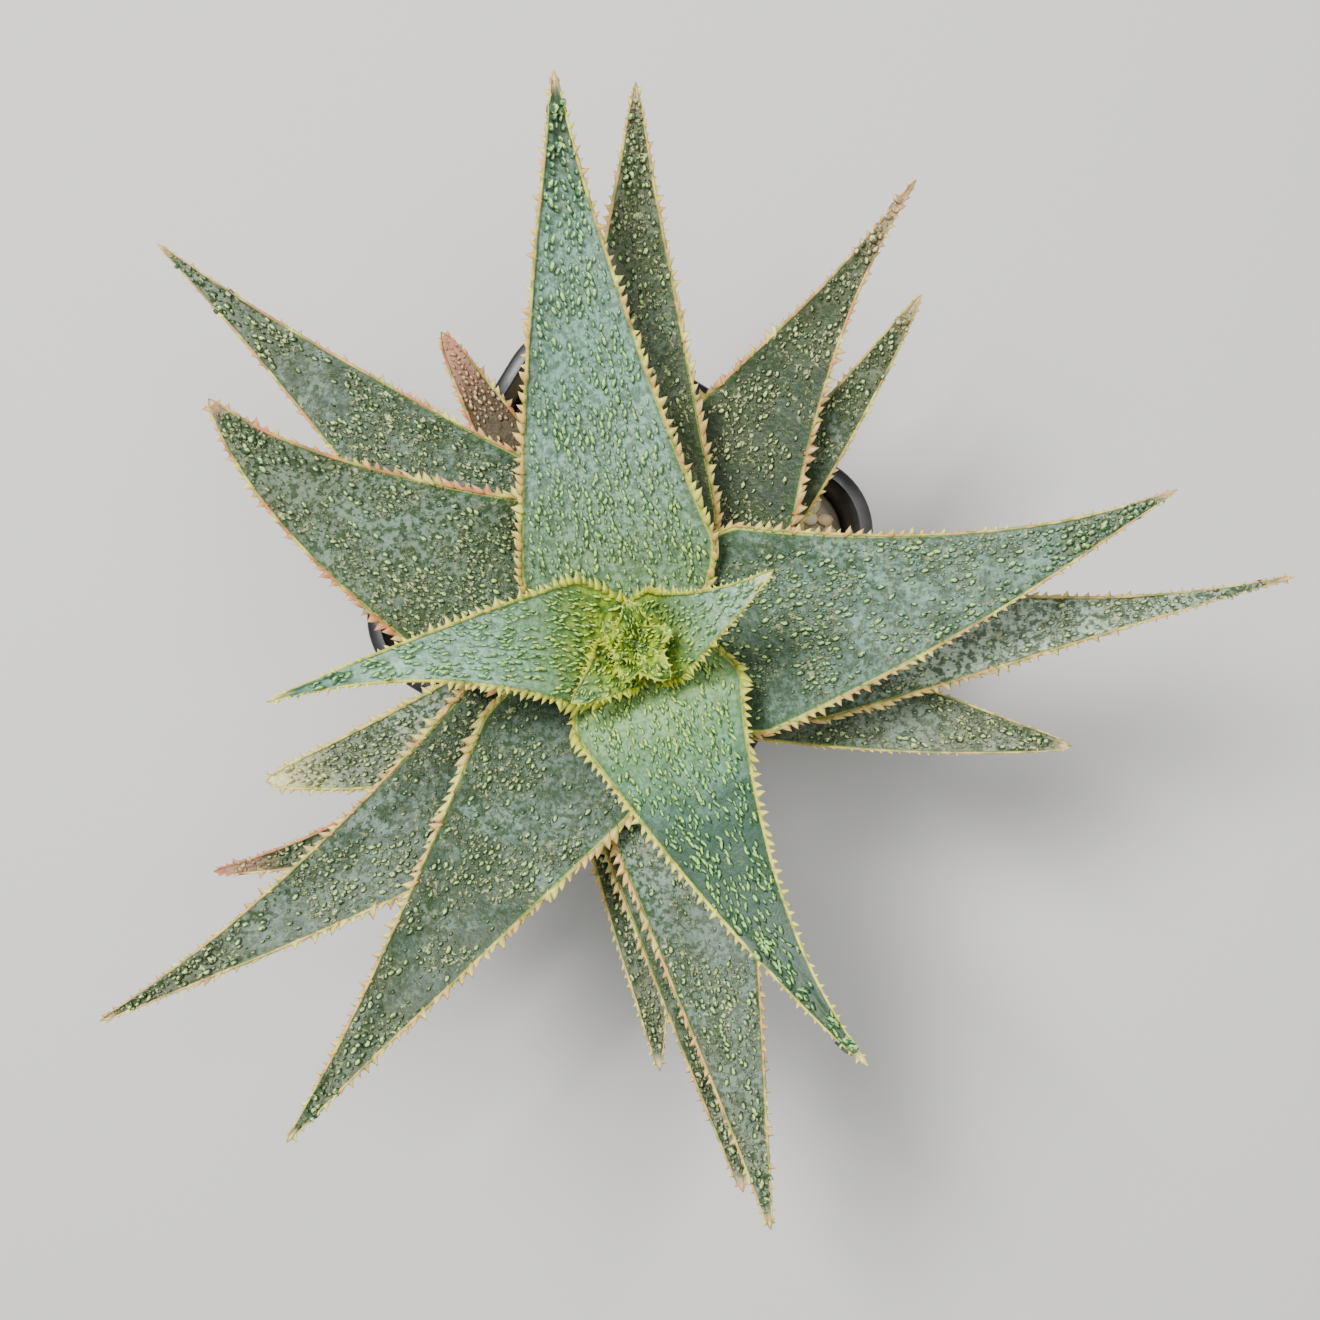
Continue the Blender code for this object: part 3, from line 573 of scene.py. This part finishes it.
def lay(t, base, over, field, low, high, most=1):
    """Lay a colour over another, more and more where a field goes from low to high."""
    cover = add(t, "MapRange", [field, low, high, 0, most])
    return add(t, "Mix", [cover, base, over], "RGBA")


def leaf_colours(t, read):
    """The skin's colour by age, place and weather, and painted shade at old roots and in heart folds."""
    patches = add(t, "TexNoise", [read.place, 170, 6, 0.76])
    bloom = add(t, "Mix", [read.age, "80b09a", "737f6f"], "RGBA")
    rubbed = add(t, "Mix", [read.age, "3b5a4a", "2c382a"], "RGBA")
    unevenness = add(t, "MapRange", [read.age, 0.1, 0.5, 0.7, 1.5])
    uneven = add(t, "MapRange", [patches, 0.35, 0.65, -0.5, 0.5], clamp=False)
    spread = add(t, "Math", [uneven, unevenness], "*")
    cover = add(t, "Math", [read.bloom, spread], "+", use_clamp=True)
    plain = add(t, "Mix", [cover, rubbed, bloom], "RGBA")
    thick = add(t, "MapRange", [read.bloom, 1.1, 1.6])
    powder = add(t, "Mix", [read.age, "c0ecca", "b4bca6"], "RGBA")
    powdered = add(t, "Mix", [thick, plain, powder], "RGBA")
    weather = add(t, "TexNoise", [read.place, 45, 3, 0.7])
    worn = add(t, "Math", [weather, read.olive], "*")
    weathered = lay(t, powdered, "5b5735", worn, 0.15, 0.45, 0.8)
    cells = add(t, "CombineXYZ", [read.along, read.across, read.age])
    grain = add(t, "TexNoise", [add(t, "VectorMath", [cells, (32, 20, 60)], "*"), 1, 4, 0.7])
    streaked = lay(t, weathered, rubbed, grain, 0.5, 0.66, 0.6)
    far = add(t, "MapRange", [read.along, 0.6, 0.95, 0, 0.7])
    faded = add(t, "Mix", [add(t, "Math", [far, read.age], "*"), streaked, "74714b"], "RGBA")
    # Painted shade: old leaves are darkened at the root, where the upper leaves shade them, and partly
    # because old leaves are darker there.
    root_shade = add(t, "MapRange", [read.along, 0.1, 0.36, 1.4, 0])
    root_shade_cover = add(t, "Math", [root_shade, read.age], "*", use_clamp=True)
    root_shaded = add(t, "Mix", [root_shade_cover, faded, "2a3526"], "RGBA")
    own_lime = add(t, "Math", [read.lime, add(t, "MapRange", [thick, 0, 1, 1, 0.85])], "*")
    limed = add(t, "Mix", [own_lime, root_shaded, "70a028"], "RGBA")
    heart_lime = add(t, "MapRange", [own_lime, 0.5, 0.85, 0, 0.9])
    # Painted shade: darker green patches over the heart stand for the shade in its folds.
    heart_shade_noise = add(t, "TexNoise", [read.place, 420, 2])
    heart_shade_cover = add(t, "MapRange", [heart_shade_noise, 0.4, 0.58])
    heart_colour = add(t, "Mix", [heart_shade_cover, "c6de34", "4c6a18"], "RGBA")
    return add(t, "Mix", [heart_lime, limed, heart_colour], "RGBA")


BASE_FIELDS = "along across age olive lime dry blush bloom"
print("the colours of a leaf read:", BASE_FIELDS)

# %% Waxy leaf skin
skin_mat, t, shader = shader_tree("waxy leaf skin with bloom")
read = read_leaf(t, BASE_FIELDS)
base = leaf_colours(t, read)
flecks = add(t, "TexNoise", [read.place, 760, 3, 0.6])
fleck_share = add(t, "MapRange", [read.age, 0.1, 0.5, 0.3, 0.9])
fleck_cover = add(t, "MapRange", [flecks, 0.45, 0.56, 0, fleck_share])
flecked = add(t, "Mix", [fleck_cover, base, "28401f"], "RGBA")
scurf = add(t, "TexNoise", [read.place, 90, 3])
scurf_place = add(t, "MapRange", [scurf, 0.44, 0.56, 0.1, 1])
green_share = add(t, "Math", [add(t, "Math", [scurf_place, read.age], "*"), 0.5], "*")
flecked = add(t, "Mix", [green_share, flecked, "4a5734"], "RGBA")
scurf_cover = add(t, "Math", [scurf_place, add(t, "MapRange", [read.age, 0.2, 0.6, 0.1, 1])], "*")
MARKS = {"Scale": 850.0, "Detail": 3.0, "Roughness": 0.7, "Distortion": 0.4}
marks = add(t, "TexNoise", {"Vector": read.place, **MARKS})
# Painted shadow: a dark copy of the crust marks, moved about 0.4 mm away from the main light, lies beside
# each crust.
crust_shadow_place = add(t, "VectorMath", [read.place, (-0.3 * MM, 0.27 * MM, 0)], "+")
crust_shadow = add(t, "MapRange", [add(t, "TexNoise", {"Vector": crust_shadow_place, **MARKS}), 0.5, 0.57, 0, 0.9])
crust_shadowed = add(t, "Mix", [add(t, "Math", [crust_shadow, scurf_cover], "*"), flecked, "24301c"], "RGBA")
crust_cover = add(t, "Math", [add(t, "MapRange", [marks, 0.54, 0.62, 0, 0.85]), scurf_cover], "*")
crust_colour = add(t, "Mix", [flecks, "f0f4bc", "8c9a4c"], "RGBA")
chalked = add(t, "Mix", [crust_cover, crust_shadowed, crust_colour], "RGBA")
outwards = add(t, "Math", [read.across], "ABSOLUTE")
banded = lay(t, chalked, "3a5c26", outwards, 0.88, 0.95, 0.5)
edged = lay(t, banded, "dcdc66", outwards, 0.955, 0.98, 0.8)
from_tip = add(t, "Math", [1, read.along], "-")
dried = add(t, "MapRange", [from_tip, read.dry, 0])
husk = add(t, "Mix", [marks, "6e4e3c", "241810"], "RGBA")
husk_tip = lay(t, husk, "c89478", read.along, 0.78, 0.92, 0.75)
dry_colour = add(t, "Mix", [read.blush, "f0f0b0", husk_tip], "RGBA")
tipped = add(t, "Mix", [dried, edged, dry_colour], "RGBA")
awn = add(t, "MapRange", [from_tip, 0.03, 0.012])
awn_colour = add(t, "Mix", [read.blush, "f4ecb4", "b87456"], "RGBA")
horned = add(t, "Mix", [awn, tipped, awn_colour], "RGBA")
finished = lay(t, horned, "f4e8b0", from_tip, 0.016, 0.007, 0.7)
raised = add(t, "Math", [crust_cover, flecks], "+")
relief = add(t, "Bump", {"Strength": 0.7, "Distance": 0.4 * MM, "Height": raised})
gloss = add(t, "MapRange", [flecks, 0.3, 0.7, 0.62, 0.42])
finish = {"Base Color": finished, "Normal": relief, "Roughness": gloss, "Specular IOR Level": 0.4}
fill(t, shader, finish)
print(skin_mat.name, len(t.nodes), "nodes")

# %% Chalky tubercle
bump_mat, t, shader = shader_tree("chalky tubercle")
read = read_leaf(t, BASE_FIELDS + " rise tone")
base = leaf_colours(t, read)
# The dark foot is partly bare of bloom and partly painted shade of the bump.
foot_shade = add(t, "Mix", [read.age, "3a6244", "2a3e24"], "RGBA")
shaded_foot = add(t, "Mix", [0.8, base, foot_shade], "RGBA")
aged_top = add(t, "Mix", [read.age, "a4dc6c", "d6e09c"], "RGBA")
top = add(t, "Mix", [read.lime, aged_top, "d8ec50"], "RGBA")
least_pale = add(t, "MapRange", [read.age, 0.2, 0.45, 0.6, 0.1])
pale = add(t, "MapRange", [read.tone, 0.35, 1, least_pale, 1])
own_top = add(t, "Mix", [pale, base, top], "RGBA")
crumbled = add(t, "MapRange", [add(t, "TexNoise", [read.place, 1500, 2]), 0.3, 0.7, -0.4, 0.4])
bumped = lay(t, shaded_foot, own_top, add(t, "Math", [read.rise, crumbled], "+"), 0.42, 0.66)
from_tip = add(t, "Math", [1, read.along], "-")
dried = add(t, "MapRange", [from_tip, read.dry, 0, 0, 0.8])
dry_top = add(t, "Mix", [read.blush, "e6e8a8", "cf9a7c"], "RGBA")
finished = add(t, "Mix", [dried, bumped, dry_top], "RGBA")
fill(t, shader, {"Base Color": finished, "Roughness": 0.34, "Specular IOR Level": 0.6})
print(bump_mat.name, len(t.nodes), "nodes")

# %% Horn of the margin
horn_mat, t, shader = shader_tree("cream horn of the margin")
read = read_leaf(t, "age blush lime rise")
tint_cover = add(t, "MapRange", [add(t, "TexNoise", [read.place, 160, 2]), 0.36, 0.54, 0, 1])
blushed = add(t, "Math", [tint_cover, read.blush], "*")
own_horn = add(t, "Mix", [read.age, "dcdc5c", "e4d874"], "RGBA")
young_horn = add(t, "Mix", [read.lime, own_horn, "b4c22a"], "RGBA")
blushed_horn = add(t, "Mix", [blushed, young_horn, "c4704f"], "RGBA")
green_cover = add(t, "MapRange", [add(t, "TexNoise", [read.place, 330, 2]), 0.42, 0.6, 0, 0.75])
green_foot = add(t, "Math", [green_cover, add(t, "MapRange", [read.rise, 0, 0.35, 1, 0])], "*")
horn = add(t, "Mix", [green_foot, blushed_horn, "61783a"], "RGBA")
point = add(t, "MapRange", [read.rise, 0.3, 1, 0, 0.35])
own_point = add(t, "Math", [point, add(t, "Math", [1, read.lime], "-")], "*")
pointed = add(t, "Mix", [own_point, horn, "f2e0a0"], "RGBA")
fill(t, shader, {"Base Color": pointed, "Roughness": 0.42})
print(horn_mat.name, len(t.nodes), "nodes")

# %% The leaf tree's end: one mesh with three finishes
t = leaf_tree
skin = add(t, "StoreNamedAttribute", [skin, None, "rise", 0])
skin = add(t, "SetMaterial", [skin, None, skin_mat])
bumps = add(t, "SetMaterial", [bumps, None, bump_mat])
horns = add(t, "JoinGeometry")
for part in margins:
    t.links.new(part.outputs[0], horns.inputs[0])
horns = add(t, "SetMaterial", [horns, None, horn_mat])
whole = add(t, "JoinGeometry")
for part in (skin, bumps, horns):
    t.links.new(part.outputs[0], whole.inputs[0])
to_middle = add(t, "MapRange", [along, 0.12, 0.48, given["Base Bloom"], given["Mid Bloom"]])
bloom = add(t, "Mix", [add(t, "MapRange", [along, 0.76, 0.92]), to_middle, given["Tip Bloom"]])
stored = {"lime": lime, "bloom": bloom}
stored |= {label.lower(): given[label] for label in ("Age", "Blush", "Olive", "Dry")}
for label, value in stored.items():
    whole = add(t, "StoreNamedAttribute", [whole, None, label, value])
whole = add(t, "SetShadeSmooth", [whole, None, True])
add(t, "NodeGroupOutput", [whole])
print("leaf tree:", len(t.nodes), "nodes")

# %% Grow a tree into a plain mesh
def grow(name, tree, values, base=None):
    """Run a Geometry Nodes tree once and keep what it makes as a plain mesh in the frame."""
    obj = show(name, base or bpy.data.meshes.new(name))
    modifier = obj.modifiers.new("grow", "NODES")
    modifier.node_group = tree
    for item in tree.interface.items_tree:
        if item.in_out == "INPUT" and item.name in values:
            modifier[item.identifier] = values[item.name]
    return settle(obj)


GROWN = 14
RING_PITCH = 1.6 * MM
TOOTH_PITCH = 2.1 * MM
TOOTH_LENGTH = 1.75 * MM
TUBERCLE_SIZE = 1.1 * MM
TUBERCLE_SPACING = 1.2 * MM


AS_IN_TABLE = (
    *("Root Width", "Belly", "Taper", "Age", "Blush", "Olive", "Dry"),
    *("Base Bloom", "Mid Bloom", "Tip Bloom"),
)


def leaf_values(leaf, root_height, root_radius, seed):
    """The inputs of the leaf tree for one row of the table."""
    root, knee, tip = midline(leaf, root_height, root_radius)
    length = ((knee - root).length + (tip - knee).length + (tip - root).length) / 2
    spare = leaf.half_width * MM * leaf.root_width - root_radius
    growth = min(1.0, leaf.half_width / GROWN)
    return {
        "Root": root,
        "Knee": knee,
        "Tip": tip,
        "Out": heading(leaf.root_az),
        "Half Width": leaf.half_width * MM,
        "Roll": -math.radians(leaf.roll),
        "Clasp": max(0.0, min(spare, root_radius)) * CLASP,
        "Rings": max(16, round(length / RING_PITCH)),
        "Tooth Length": TOOTH_LENGTH * (0.4 + 0.6 * growth) * leaf.teeth,
        "Tooth Pitch": TOOTH_PITCH * (0.5 + 0.5 * growth),
        "Tubercle Size": TUBERCLE_SIZE * (0.6 + 0.4 * growth),
        "Tubercle Spacing": TUBERCLE_SPACING * (0.6 + 0.4 * growth) * leaf.apart,
        "Seed": seed,
        **{label: getattr(leaf, label.lower().replace(" ", "_")) for label in AS_IN_TABLE},
    }


print("a grown leaf has a ring every", RING_PITCH / MM, "mm")

# %% Grow the leaves
def place(piece, *nodes):
    """Let a piece stand for its solids and ride on the row's one body."""
    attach(piece, "root")
    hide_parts(*nodes)
    return len(piece.data.polygons)


total = 0
for index, leaf in enumerate(LEAVES):
    root_height = FIRST_ROOT - index * ROOT_DROP
    values = leaf_values(leaf, root_height, stem_radius(root_height) + GAP, index + 1)
    blade = grow(f"leaf_{index + 1:02d}_blade", leaf_tree, values)
    total += place(blade, f"leaf_{index + 1:02d}")
print("faces on the leaves:", total)

# %% [markdown]
# ## The heart
# The smallest leaves are still folded round the growing point, lime green with short teeth, and
# patches of darker green on them are painted shade of their folds. They follow the same rule as
# the grown ones, so the same tree grows them, and a low dome of tissue closes the middle between
# them. Their finish is that of the newest leaf.

# %% Heart leaves
BUD_SHAPE = {"root_width": 0.8, "belly": 0.2, "taper": 0.8, "knee": 0.5, "roll": 0, "apart": 1.1}
BUD_ROWS = (
    (96, 100, 9, 48, 70, 6),
    (310, 315, 9.5, 46, 70, 6),
    (205, 210, 5, 48, 80, 4.5),
    (20, 24, 8, 47, 72, 5),
    (150, 146, 8, 46, 70, 5),
    (255, 250, 8, 47, 70, 5),
)
BUD_TOOTH = 1.15 * MM
FIRST_BUD_SEED = 40
HEART_ROOT = STEM_TOP + GAP + 1.25 * MM
HEART_ROOT_RADIUS = 0.6 * MM


def join(pieces, name):
    """Make one mesh object of several."""
    with bpy.context.temp_override(active_object=pieces[0], selected_editable_objects=pieces):
        bpy.ops.object.join()
    pieces[0].name = name
    return pieces[0]


buds = []
for index, row in enumerate(BUD_ROWS):
    bud = Leaf(*row, **BUD_SHAPE)
    values = leaf_values(bud, HEART_ROOT, HEART_ROOT_RADIUS, FIRST_BUD_SEED + index)
    values["Tooth Length"] = BUD_TOOTH
    buds.append(grow(f"bud_{index + 1}", leaf_tree, values))
print("faces on the heart leaves:", sum(len(bud.data.polygons) for bud in buds))

# %% [markdown]
# ## Turned and moulded pieces
# The pot, the stem and the dome of the heart are all skins through a stack of outlines, so one
# function closes such a stack into a solid. The pot's outline is a rounded square, with enough
# points on its corners to look round.

# %% A solid through a stack of outlines
def loft(name, outlines, mat):
    """A closed solid, as a mesh object, through outlines that have the same number of points."""
    count = len(outlines[0])
    points = [tuple(p) for outline in outlines for p in outline]
    faces = [tuple(reversed(range(count)))]
    for ring in range(len(outlines) - 1):
        low, high = ring * count, (ring + 1) * count
        faces += [(low + i, low + (i + 1) % count, high + (i + 1) % count, high + i) for i in range(count)]
    faces.append(tuple(range(len(points) - count, len(points))))
    mesh = bpy.data.meshes.new(name)
    mesh.from_pydata(points, [], faces)
    mesh.materials.append(mat)
    mesh.shade_smooth()
    mesh.set_sharp_from_angle(angle=math.radians(40))
    return show(name, mesh)


POT_TURN = -31.4
CORNER_STEPS = 16


def rounded_square(half, corner, height):
    """The outline of a rounded square at a height, turned as the pot is."""
    points = []
    for quarter in range(4):
        middle = heading(45 + 90 * quarter + POT_TURN) * (half - corner) * math.sqrt(2)
        for step in range(CORNER_STEPS + 1):
            angle = 90 * quarter + 90 * step / CORNER_STEPS + POT_TURN
            points.append(middle + heading(angle) * corner + UP * height)
    return points


print("points on an outline:", len(rounded_square(1, 0.5, 0)))

# %% Dome of the heart
dome = []
for rise, radius in ((0, 4.4), (0.8, 4.6), (1.7, 4.2), (2.3, 3.0), (2.6, 1.4), (2.7, 0.3)):
    middle = crown(STEM_TOP + GAP + rise * MM)
    dome.append([middle + heading(15 * i) * radius * MM * (1 + 0.08 * (i % 2)) for i in range(24)])
dome_tissue, t, shader = shader_tree("lime green leaf tissue")
spot = add(t, "TexCoord").outputs["Object"]
# The dark green between the lime beads is painted shade of the heart's hollow.
beads = add(t, "TexVoronoi", {"Vector": spot, "Scale": 900})
bead_cover = add(t, "MapRange", [beads.outputs["Distance"], 0.15, 0.6])
bead_colour = add(t, "Mix", [bead_cover, "5c8018", "203a0c"], "RGBA")
bead_relief = add(t, "Bump", {"Strength": 0.6, "Distance": 0.3 * MM, "Height": bead_cover}, invert=True)
fill(t, shader, {"Base Color": bead_colour, "Normal": bead_relief, "Roughness": 0.5})
heart = join([*buds, loft("dome", dome, dome_tissue)], "heart_buds")
print("faces on the heart:", place(heart, "heart"))

# %% [markdown]
# ## The pot
# A nursery pot is injection moulded from black polypropylene, thin, tapered, with a turned lip
# and four drain holes. The plastic is satin with a fine grain, and grey with dust. The holes
# are cut with boolean modifiers, which are then made part of the mesh.

# %% Moulded black polypropylene
plastic, t, shader = shader_tree("moulded black polypropylene")
spot = add(t, "TexCoord").outputs["Object"]
dust = add(t, "TexNoise", [spot, 60, 5, 0.65])
dusty = add(t, "Mix", [add(t, "MapRange", [dust, 0.45, 0.75, 0, 0.55]), "1b1b1c", "4a4743"], "RGBA")
dull = add(t, "MapRange", [dust, 0.4, 0.7, 0.38, 0.65])
grain = add(t, "TexNoise", [spot, 2500, 2])
grain_relief = add(t, "Bump", {"Strength": 0.25, "Distance": 0.05 * MM, "Height": grain})
fill(t, shader, {"Base Color": dusty, "Roughness": dull, "Normal": grain_relief})
print(plastic.name, len(t.nodes), "nodes")

# %% Pot shell and drain holes
RIM_HALF = 45 * MM
RIM_CORNER = 17 * MM
LIP_WIDTH = 2.0 * MM
LIP_FOOT = RIM_HEIGHT - 5.0 * MM
WALL = 1.2 * MM
BASE_HALF = 32 * MM
BASE_CORNER = 12 * MM
POT_FLOOR = 1.6 * MM
FOOT_EDGE = 1.5 * MM
DRAIN_RADIUS = 4 * MM
DRAIN_OUT = 24 * MM


def wall_outline(height, inset):
    """The pot's outside outline at a height, drawn in by an inset."""
    share = height / RIM_HEIGHT
    half = BASE_HALF + (RIM_HALF - LIP_WIDTH - BASE_HALF) * share - inset
    corner = BASE_CORNER + (RIM_CORNER - LIP_WIDTH - BASE_CORNER) * share - inset
    return rounded_square(half, corner, height)


def lip_outline(inset, height):
    """The outline of the lip at a height, drawn in by an inset in millimetres."""
    return rounded_square(RIM_HALF - inset * MM, RIM_CORNER - inset * MM, height)


pot = loft(
    "pot_shell",
    [
        rounded_square(BASE_HALF - FOOT_EDGE, BASE_CORNER - FOOT_EDGE, 0),
        wall_outline(0.4 * FOOT_EDGE, 0.4 * FOOT_EDGE),
        wall_outline(FOOT_EDGE, 0),
        wall_outline(LIP_FOOT - 0.8 * MM, 0),
        wall_outline(LIP_FOOT, -0.2 * MM),
        lip_outline(0.6, LIP_FOOT),
        lip_outline(0.15, LIP_FOOT + 0.2 * MM),
        lip_outline(0.0, LIP_FOOT + 0.6 * MM),
        lip_outline(0.0, RIM_HEIGHT - 1.0 * MM),
        lip_outline(0.2, RIM_HEIGHT - 0.4 * MM),
        lip_outline(0.7, RIM_HEIGHT),
        wall_outline(RIM_HEIGHT, 0.7 * WALL),
        wall_outline(RIM_HEIGHT - 0.4 * MM, WALL),
        wall_outline(POT_FLOOR + 1.5 * MM, WALL),
        wall_outline(POT_FLOOR, WALL + 1.5 * MM),
    ],
    plastic,
)
cutters = []
for quarter in range(4):
    centre = heading(45 + 90 * quarter + POT_TURN) * DRAIN_OUT
    rings = [[centre + heading(10 * i) * DRAIN_RADIUS + UP * h * MM for i in range(36)] for h in (-3, 5)]
    cutters.append(loft(f"drain_{quarter + 1}", rings, plastic))
    hole = pot.modifiers.new("drain", "BOOLEAN")
    hole.solver = "EXACT"
    hole.object = cutters[-1]
settle(pot)
for cutter in cutters:
    bpy.data.objects.remove(cutter)
print("faces on the pot:", place(pot, "pot"))

# %% [markdown]
# ## Stem and potting mix
# The stem hardly shows: it is a short corky post, ringed with the scars of fallen leaves. The
# potting mix shows only through the drain holes, so its solid stays as it is and gets its own
# finish of bark, peat and pale perlite.

# %% Corky stem
cork, t, shader = shader_tree("corky stem with leaf scars")
spot = add(t, "TexCoord").outputs["Object"]
scars = add(t, "TexNoise", [add(t, "VectorMath", [spot, (120, 120, 700)], "*"), 1, 5])
corky = add(t, "Mix", [add(t, "MapRange", [scars, 0.35, 0.65]), "5c5030", "9a9160"], "RGBA")
cork_relief = add(t, "Bump", {"Strength": 0.7, "Distance": 0.3 * MM, "Height": scars})
fill(t, shader, {"Base Color": corky, "Normal": cork_relief, "Roughness": 0.8})
STEM_BURIED = 22 * MM
STEM_RINGS = 70
SCAR_DEPTH = 0.12 * MM
outlines = []
for ring in range(STEM_RINGS + 1):
    height = GRAVEL_TOP - STEM_BURIED + (STEM_TOP - GRAVEL_TOP + STEM_BURIED) * ring / STEM_RINGS
    scar = SCAR_DEPTH * math.sin(ring * 2.1) - SCAR_DEPTH
    wave = [0.1 * MM * math.sin(3 * math.radians(9 * i) + ring * 0.4) for i in range(40)]
    radii = [stem_radius(height) + scar + w for w in wave]
    outlines.append([crown(height) + heading(9 * i) * radii[i] for i in range(40)])
stem = loft("stem_post", outlines, cork)
print("faces on the stem:", place(stem, "stem"))

# %% Potting mix
mix, t, shader = shader_tree("bark and peat potting mix")
spot = add(t, "TexCoord").outputs["Object"]
chips = add(t, "TexVoronoi", {"Vector": spot, "Scale": 350, "Randomness": 1})
chip_tone = add(t, "SeparateColor", [chips.outputs["Color"]])
peat = add(t, "Mix", [chip_tone, "2a1c12", "5a4028"], "RGBA")
perlite = add(t, "Math", [chip_tone.outputs[1], 0.93], ">")
mixed = add(t, "Mix", [perlite, peat, "d8d4c8"], "RGBA")
crumb = add(t, "Bump", {"Strength": 0.8, "Distance": 0.6 * MM, "Height": chips.outputs["Distance"]})
fill(t, shader, {"Base Color": mixed, "Normal": crumb, "Roughness": 0.95})
bpy.data.objects["soil"].material_slots[0].material = mix
print(mix.name, len(t.nodes), "nodes")

# %% [markdown]
# ## The gravel
# A dressing of rounded limestone pebbles, about three to five millimetres across, lies over the
# mix. A slab stands for the packed stones below. Geometry Nodes scatter two layers on its level
# top at a least distance from each other, turn and size each stone at random, and dent it with a
# noise. The stones are painted darker where they are sunk in the bed, as shade in the crevices
# between them.

# %% Limestone pebbles
BED_TOP = GRAVEL_TOP - 2.6 * MM
pebble_mat, t, shader = shader_tree("rounded limestone pebbles")
spot = add(t, "TexCoord").outputs["Object"]
tone = add(t, "Attribute", attribute_name="tone").outputs["Fac"]
stone = add(t, "Mix", [tone, "fff4d0", "fce0ac"], "RGBA")
veins = add(t, "TexNoise", [spot, 420, 5, 0.7])
veined = lay(t, stone, "d8b07c", veins, 0.48, 0.7, 0.6)
stone_height = add(t, "SeparateXYZ", [spot]).outputs["Z"]
# Painted shade: the stones and the slab are darker low down, in the crevices between the stones.
crevice_shade = add(t, "MapRange", [stone_height, BED_TOP - 0.5 * MM, BED_TOP + 1.2 * MM, 0.85, 0])
crevice_shaded = add(t, "Mix", [crevice_shade, veined, "3a2c1c"], "RGBA")
pitted = add(t, "Bump", {"Strength": 0.5, "Distance": 0.2 * MM, "Height": veins})
fill(t, shader, {"Base Color": crevice_shaded, "Normal": pitted, "Roughness": 0.7})
print(pebble_mat.name, len(t.nodes), "nodes")

# %% The tree that scatters the pebbles
pebble_tree = bpy.data.node_groups.new("pebble dressing", "GeometryNodeTree")
PEBBLE_INPUTS = {
    "Geometry": ("Geometry",),
    "Float": ("Pebble Size", "Spacing", "Clear Radius"),
    "Vector": ("Stem",),
}
given = open_tree(pebble_tree, PEBBLE_INPUTS)
t = pebble_tree
facing = add(t, "SeparateXYZ", [add(t, "InputNormal")])
is_level = add(t, "Math", [facing.outputs["Z"], 0.99], ">")
level = add(t, "SeparateGeometry", [given["Geometry"], is_level], domain="FACE")
whole = add(t, "JoinGeometry")
# Ranges of a stone's turn in radians and of its stretch, each with its step of the seed
PEBBLE_RANGES = ((1, (-0.4, -0.4, 0), (0.4, 0.4, 6.28)), (2, (0.8, 0.65, 0.5), (1.25, 1, 0.75)))
PEBBLE_DENT = 1.8 * MM
# A drop and a seed for each layer
LAYERS = ((0.9 * MM, 3), (-0.6 * MM, 8))
for layer, (drop, seed) in enumerate(LAYERS):
    scattered = {"Mesh": level, "Distance Min": given["Spacing"], "Density Max": 1.0e6, "Seed": seed}
    spread = add(t, "DistributePointsOnFaces", scattered, distribute_method="POISSON")
    to_stem = add(t, "VectorMath", [add(t, "InputPosition"), given["Stem"]], "DISTANCE")
    is_clear = add(t, "Math", [to_stem, given["Clear Radius"]], ">")
    turn, stretch = (
        add(t, "RandomValue", {"Min": low, "Max": high, "Seed": seed + step}, "FLOAT_VECTOR")
        for step, low, high in PEBBLE_RANGES
    )
    sized = add(t, "VectorMath", {0: stretch, "Scale": given["Pebble Size"]}, "SCALE")
    own_tone = add(t, "RandomValue", {"Seed": seed + 4})
    toned = add(t, "StoreNamedAttribute", [spread.outputs["Points"], None, "tone", own_tone])
    pebble = add(t, "MeshUVSphere", [8, 6, 1])
    pebbles = add(t, "InstanceOnPoints", [toned, is_clear, pebble, None, None, turn, sized])
    pebbles = add(t, "RealizeInstances", [pebbles])
    dent_place = add(t, "VectorMath", [add(t, "InputPosition"), (0, 0, 10 * MM * layer)], "+")
    dents = add(t, "TexNoise", [dent_place, 320, 1])
    centred = add(t, "VectorMath", [dents.outputs["Color"], (0.5, 0.5, 0.5)], "-")
    dented = add(t, "VectorMath", {0: centred, "Scale": PEBBLE_DENT}, "SCALE")
    lowered = add(t, "VectorMath", [dented, (0, 0, -drop)], "+")
    pebbles = add(t, "SetPosition", [pebbles, None, None, lowered])
    t.links.new(pebbles.outputs[0], whole.inputs[0])
t.links.new(given["Geometry"], whole.inputs[0])
finished = add(t, "SetMaterial", [whole, None, pebble_mat])
finished = add(t, "SetShadeSmooth", [finished, None, True])
add(t, "NodeGroupOutput", [finished])
print("pebble tree:", len(t.nodes), "nodes")

# %% Spread the pebbles
GRAVEL_DEPTH = 4.5 * MM
gravel_low = GRAVEL_TOP - GRAVEL_DEPTH + GAP
slab = loft(
    "gravel_slab",
    [
        wall_outline(gravel_low, WALL + GAP),
        wall_outline(BED_TOP - 0.8 * MM, WALL + GAP + 0.6 * MM),
        wall_outline(BED_TOP, WALL + GAP + 3.2 * MM),
    ],
    pebble_mat,
)
pebble_values = {"Pebble Size": 2.1 * MM, "Spacing": 3.1 * MM, "Clear Radius": 14.5 * MM}
pebble_values["Stem"] = crown(BED_TOP)
gravel = grow("gravel_pebbles", pebble_tree, pebble_values, slab.data)
bpy.data.objects.remove(slab)
print("faces on the gravel:", place(gravel, "gravel"))
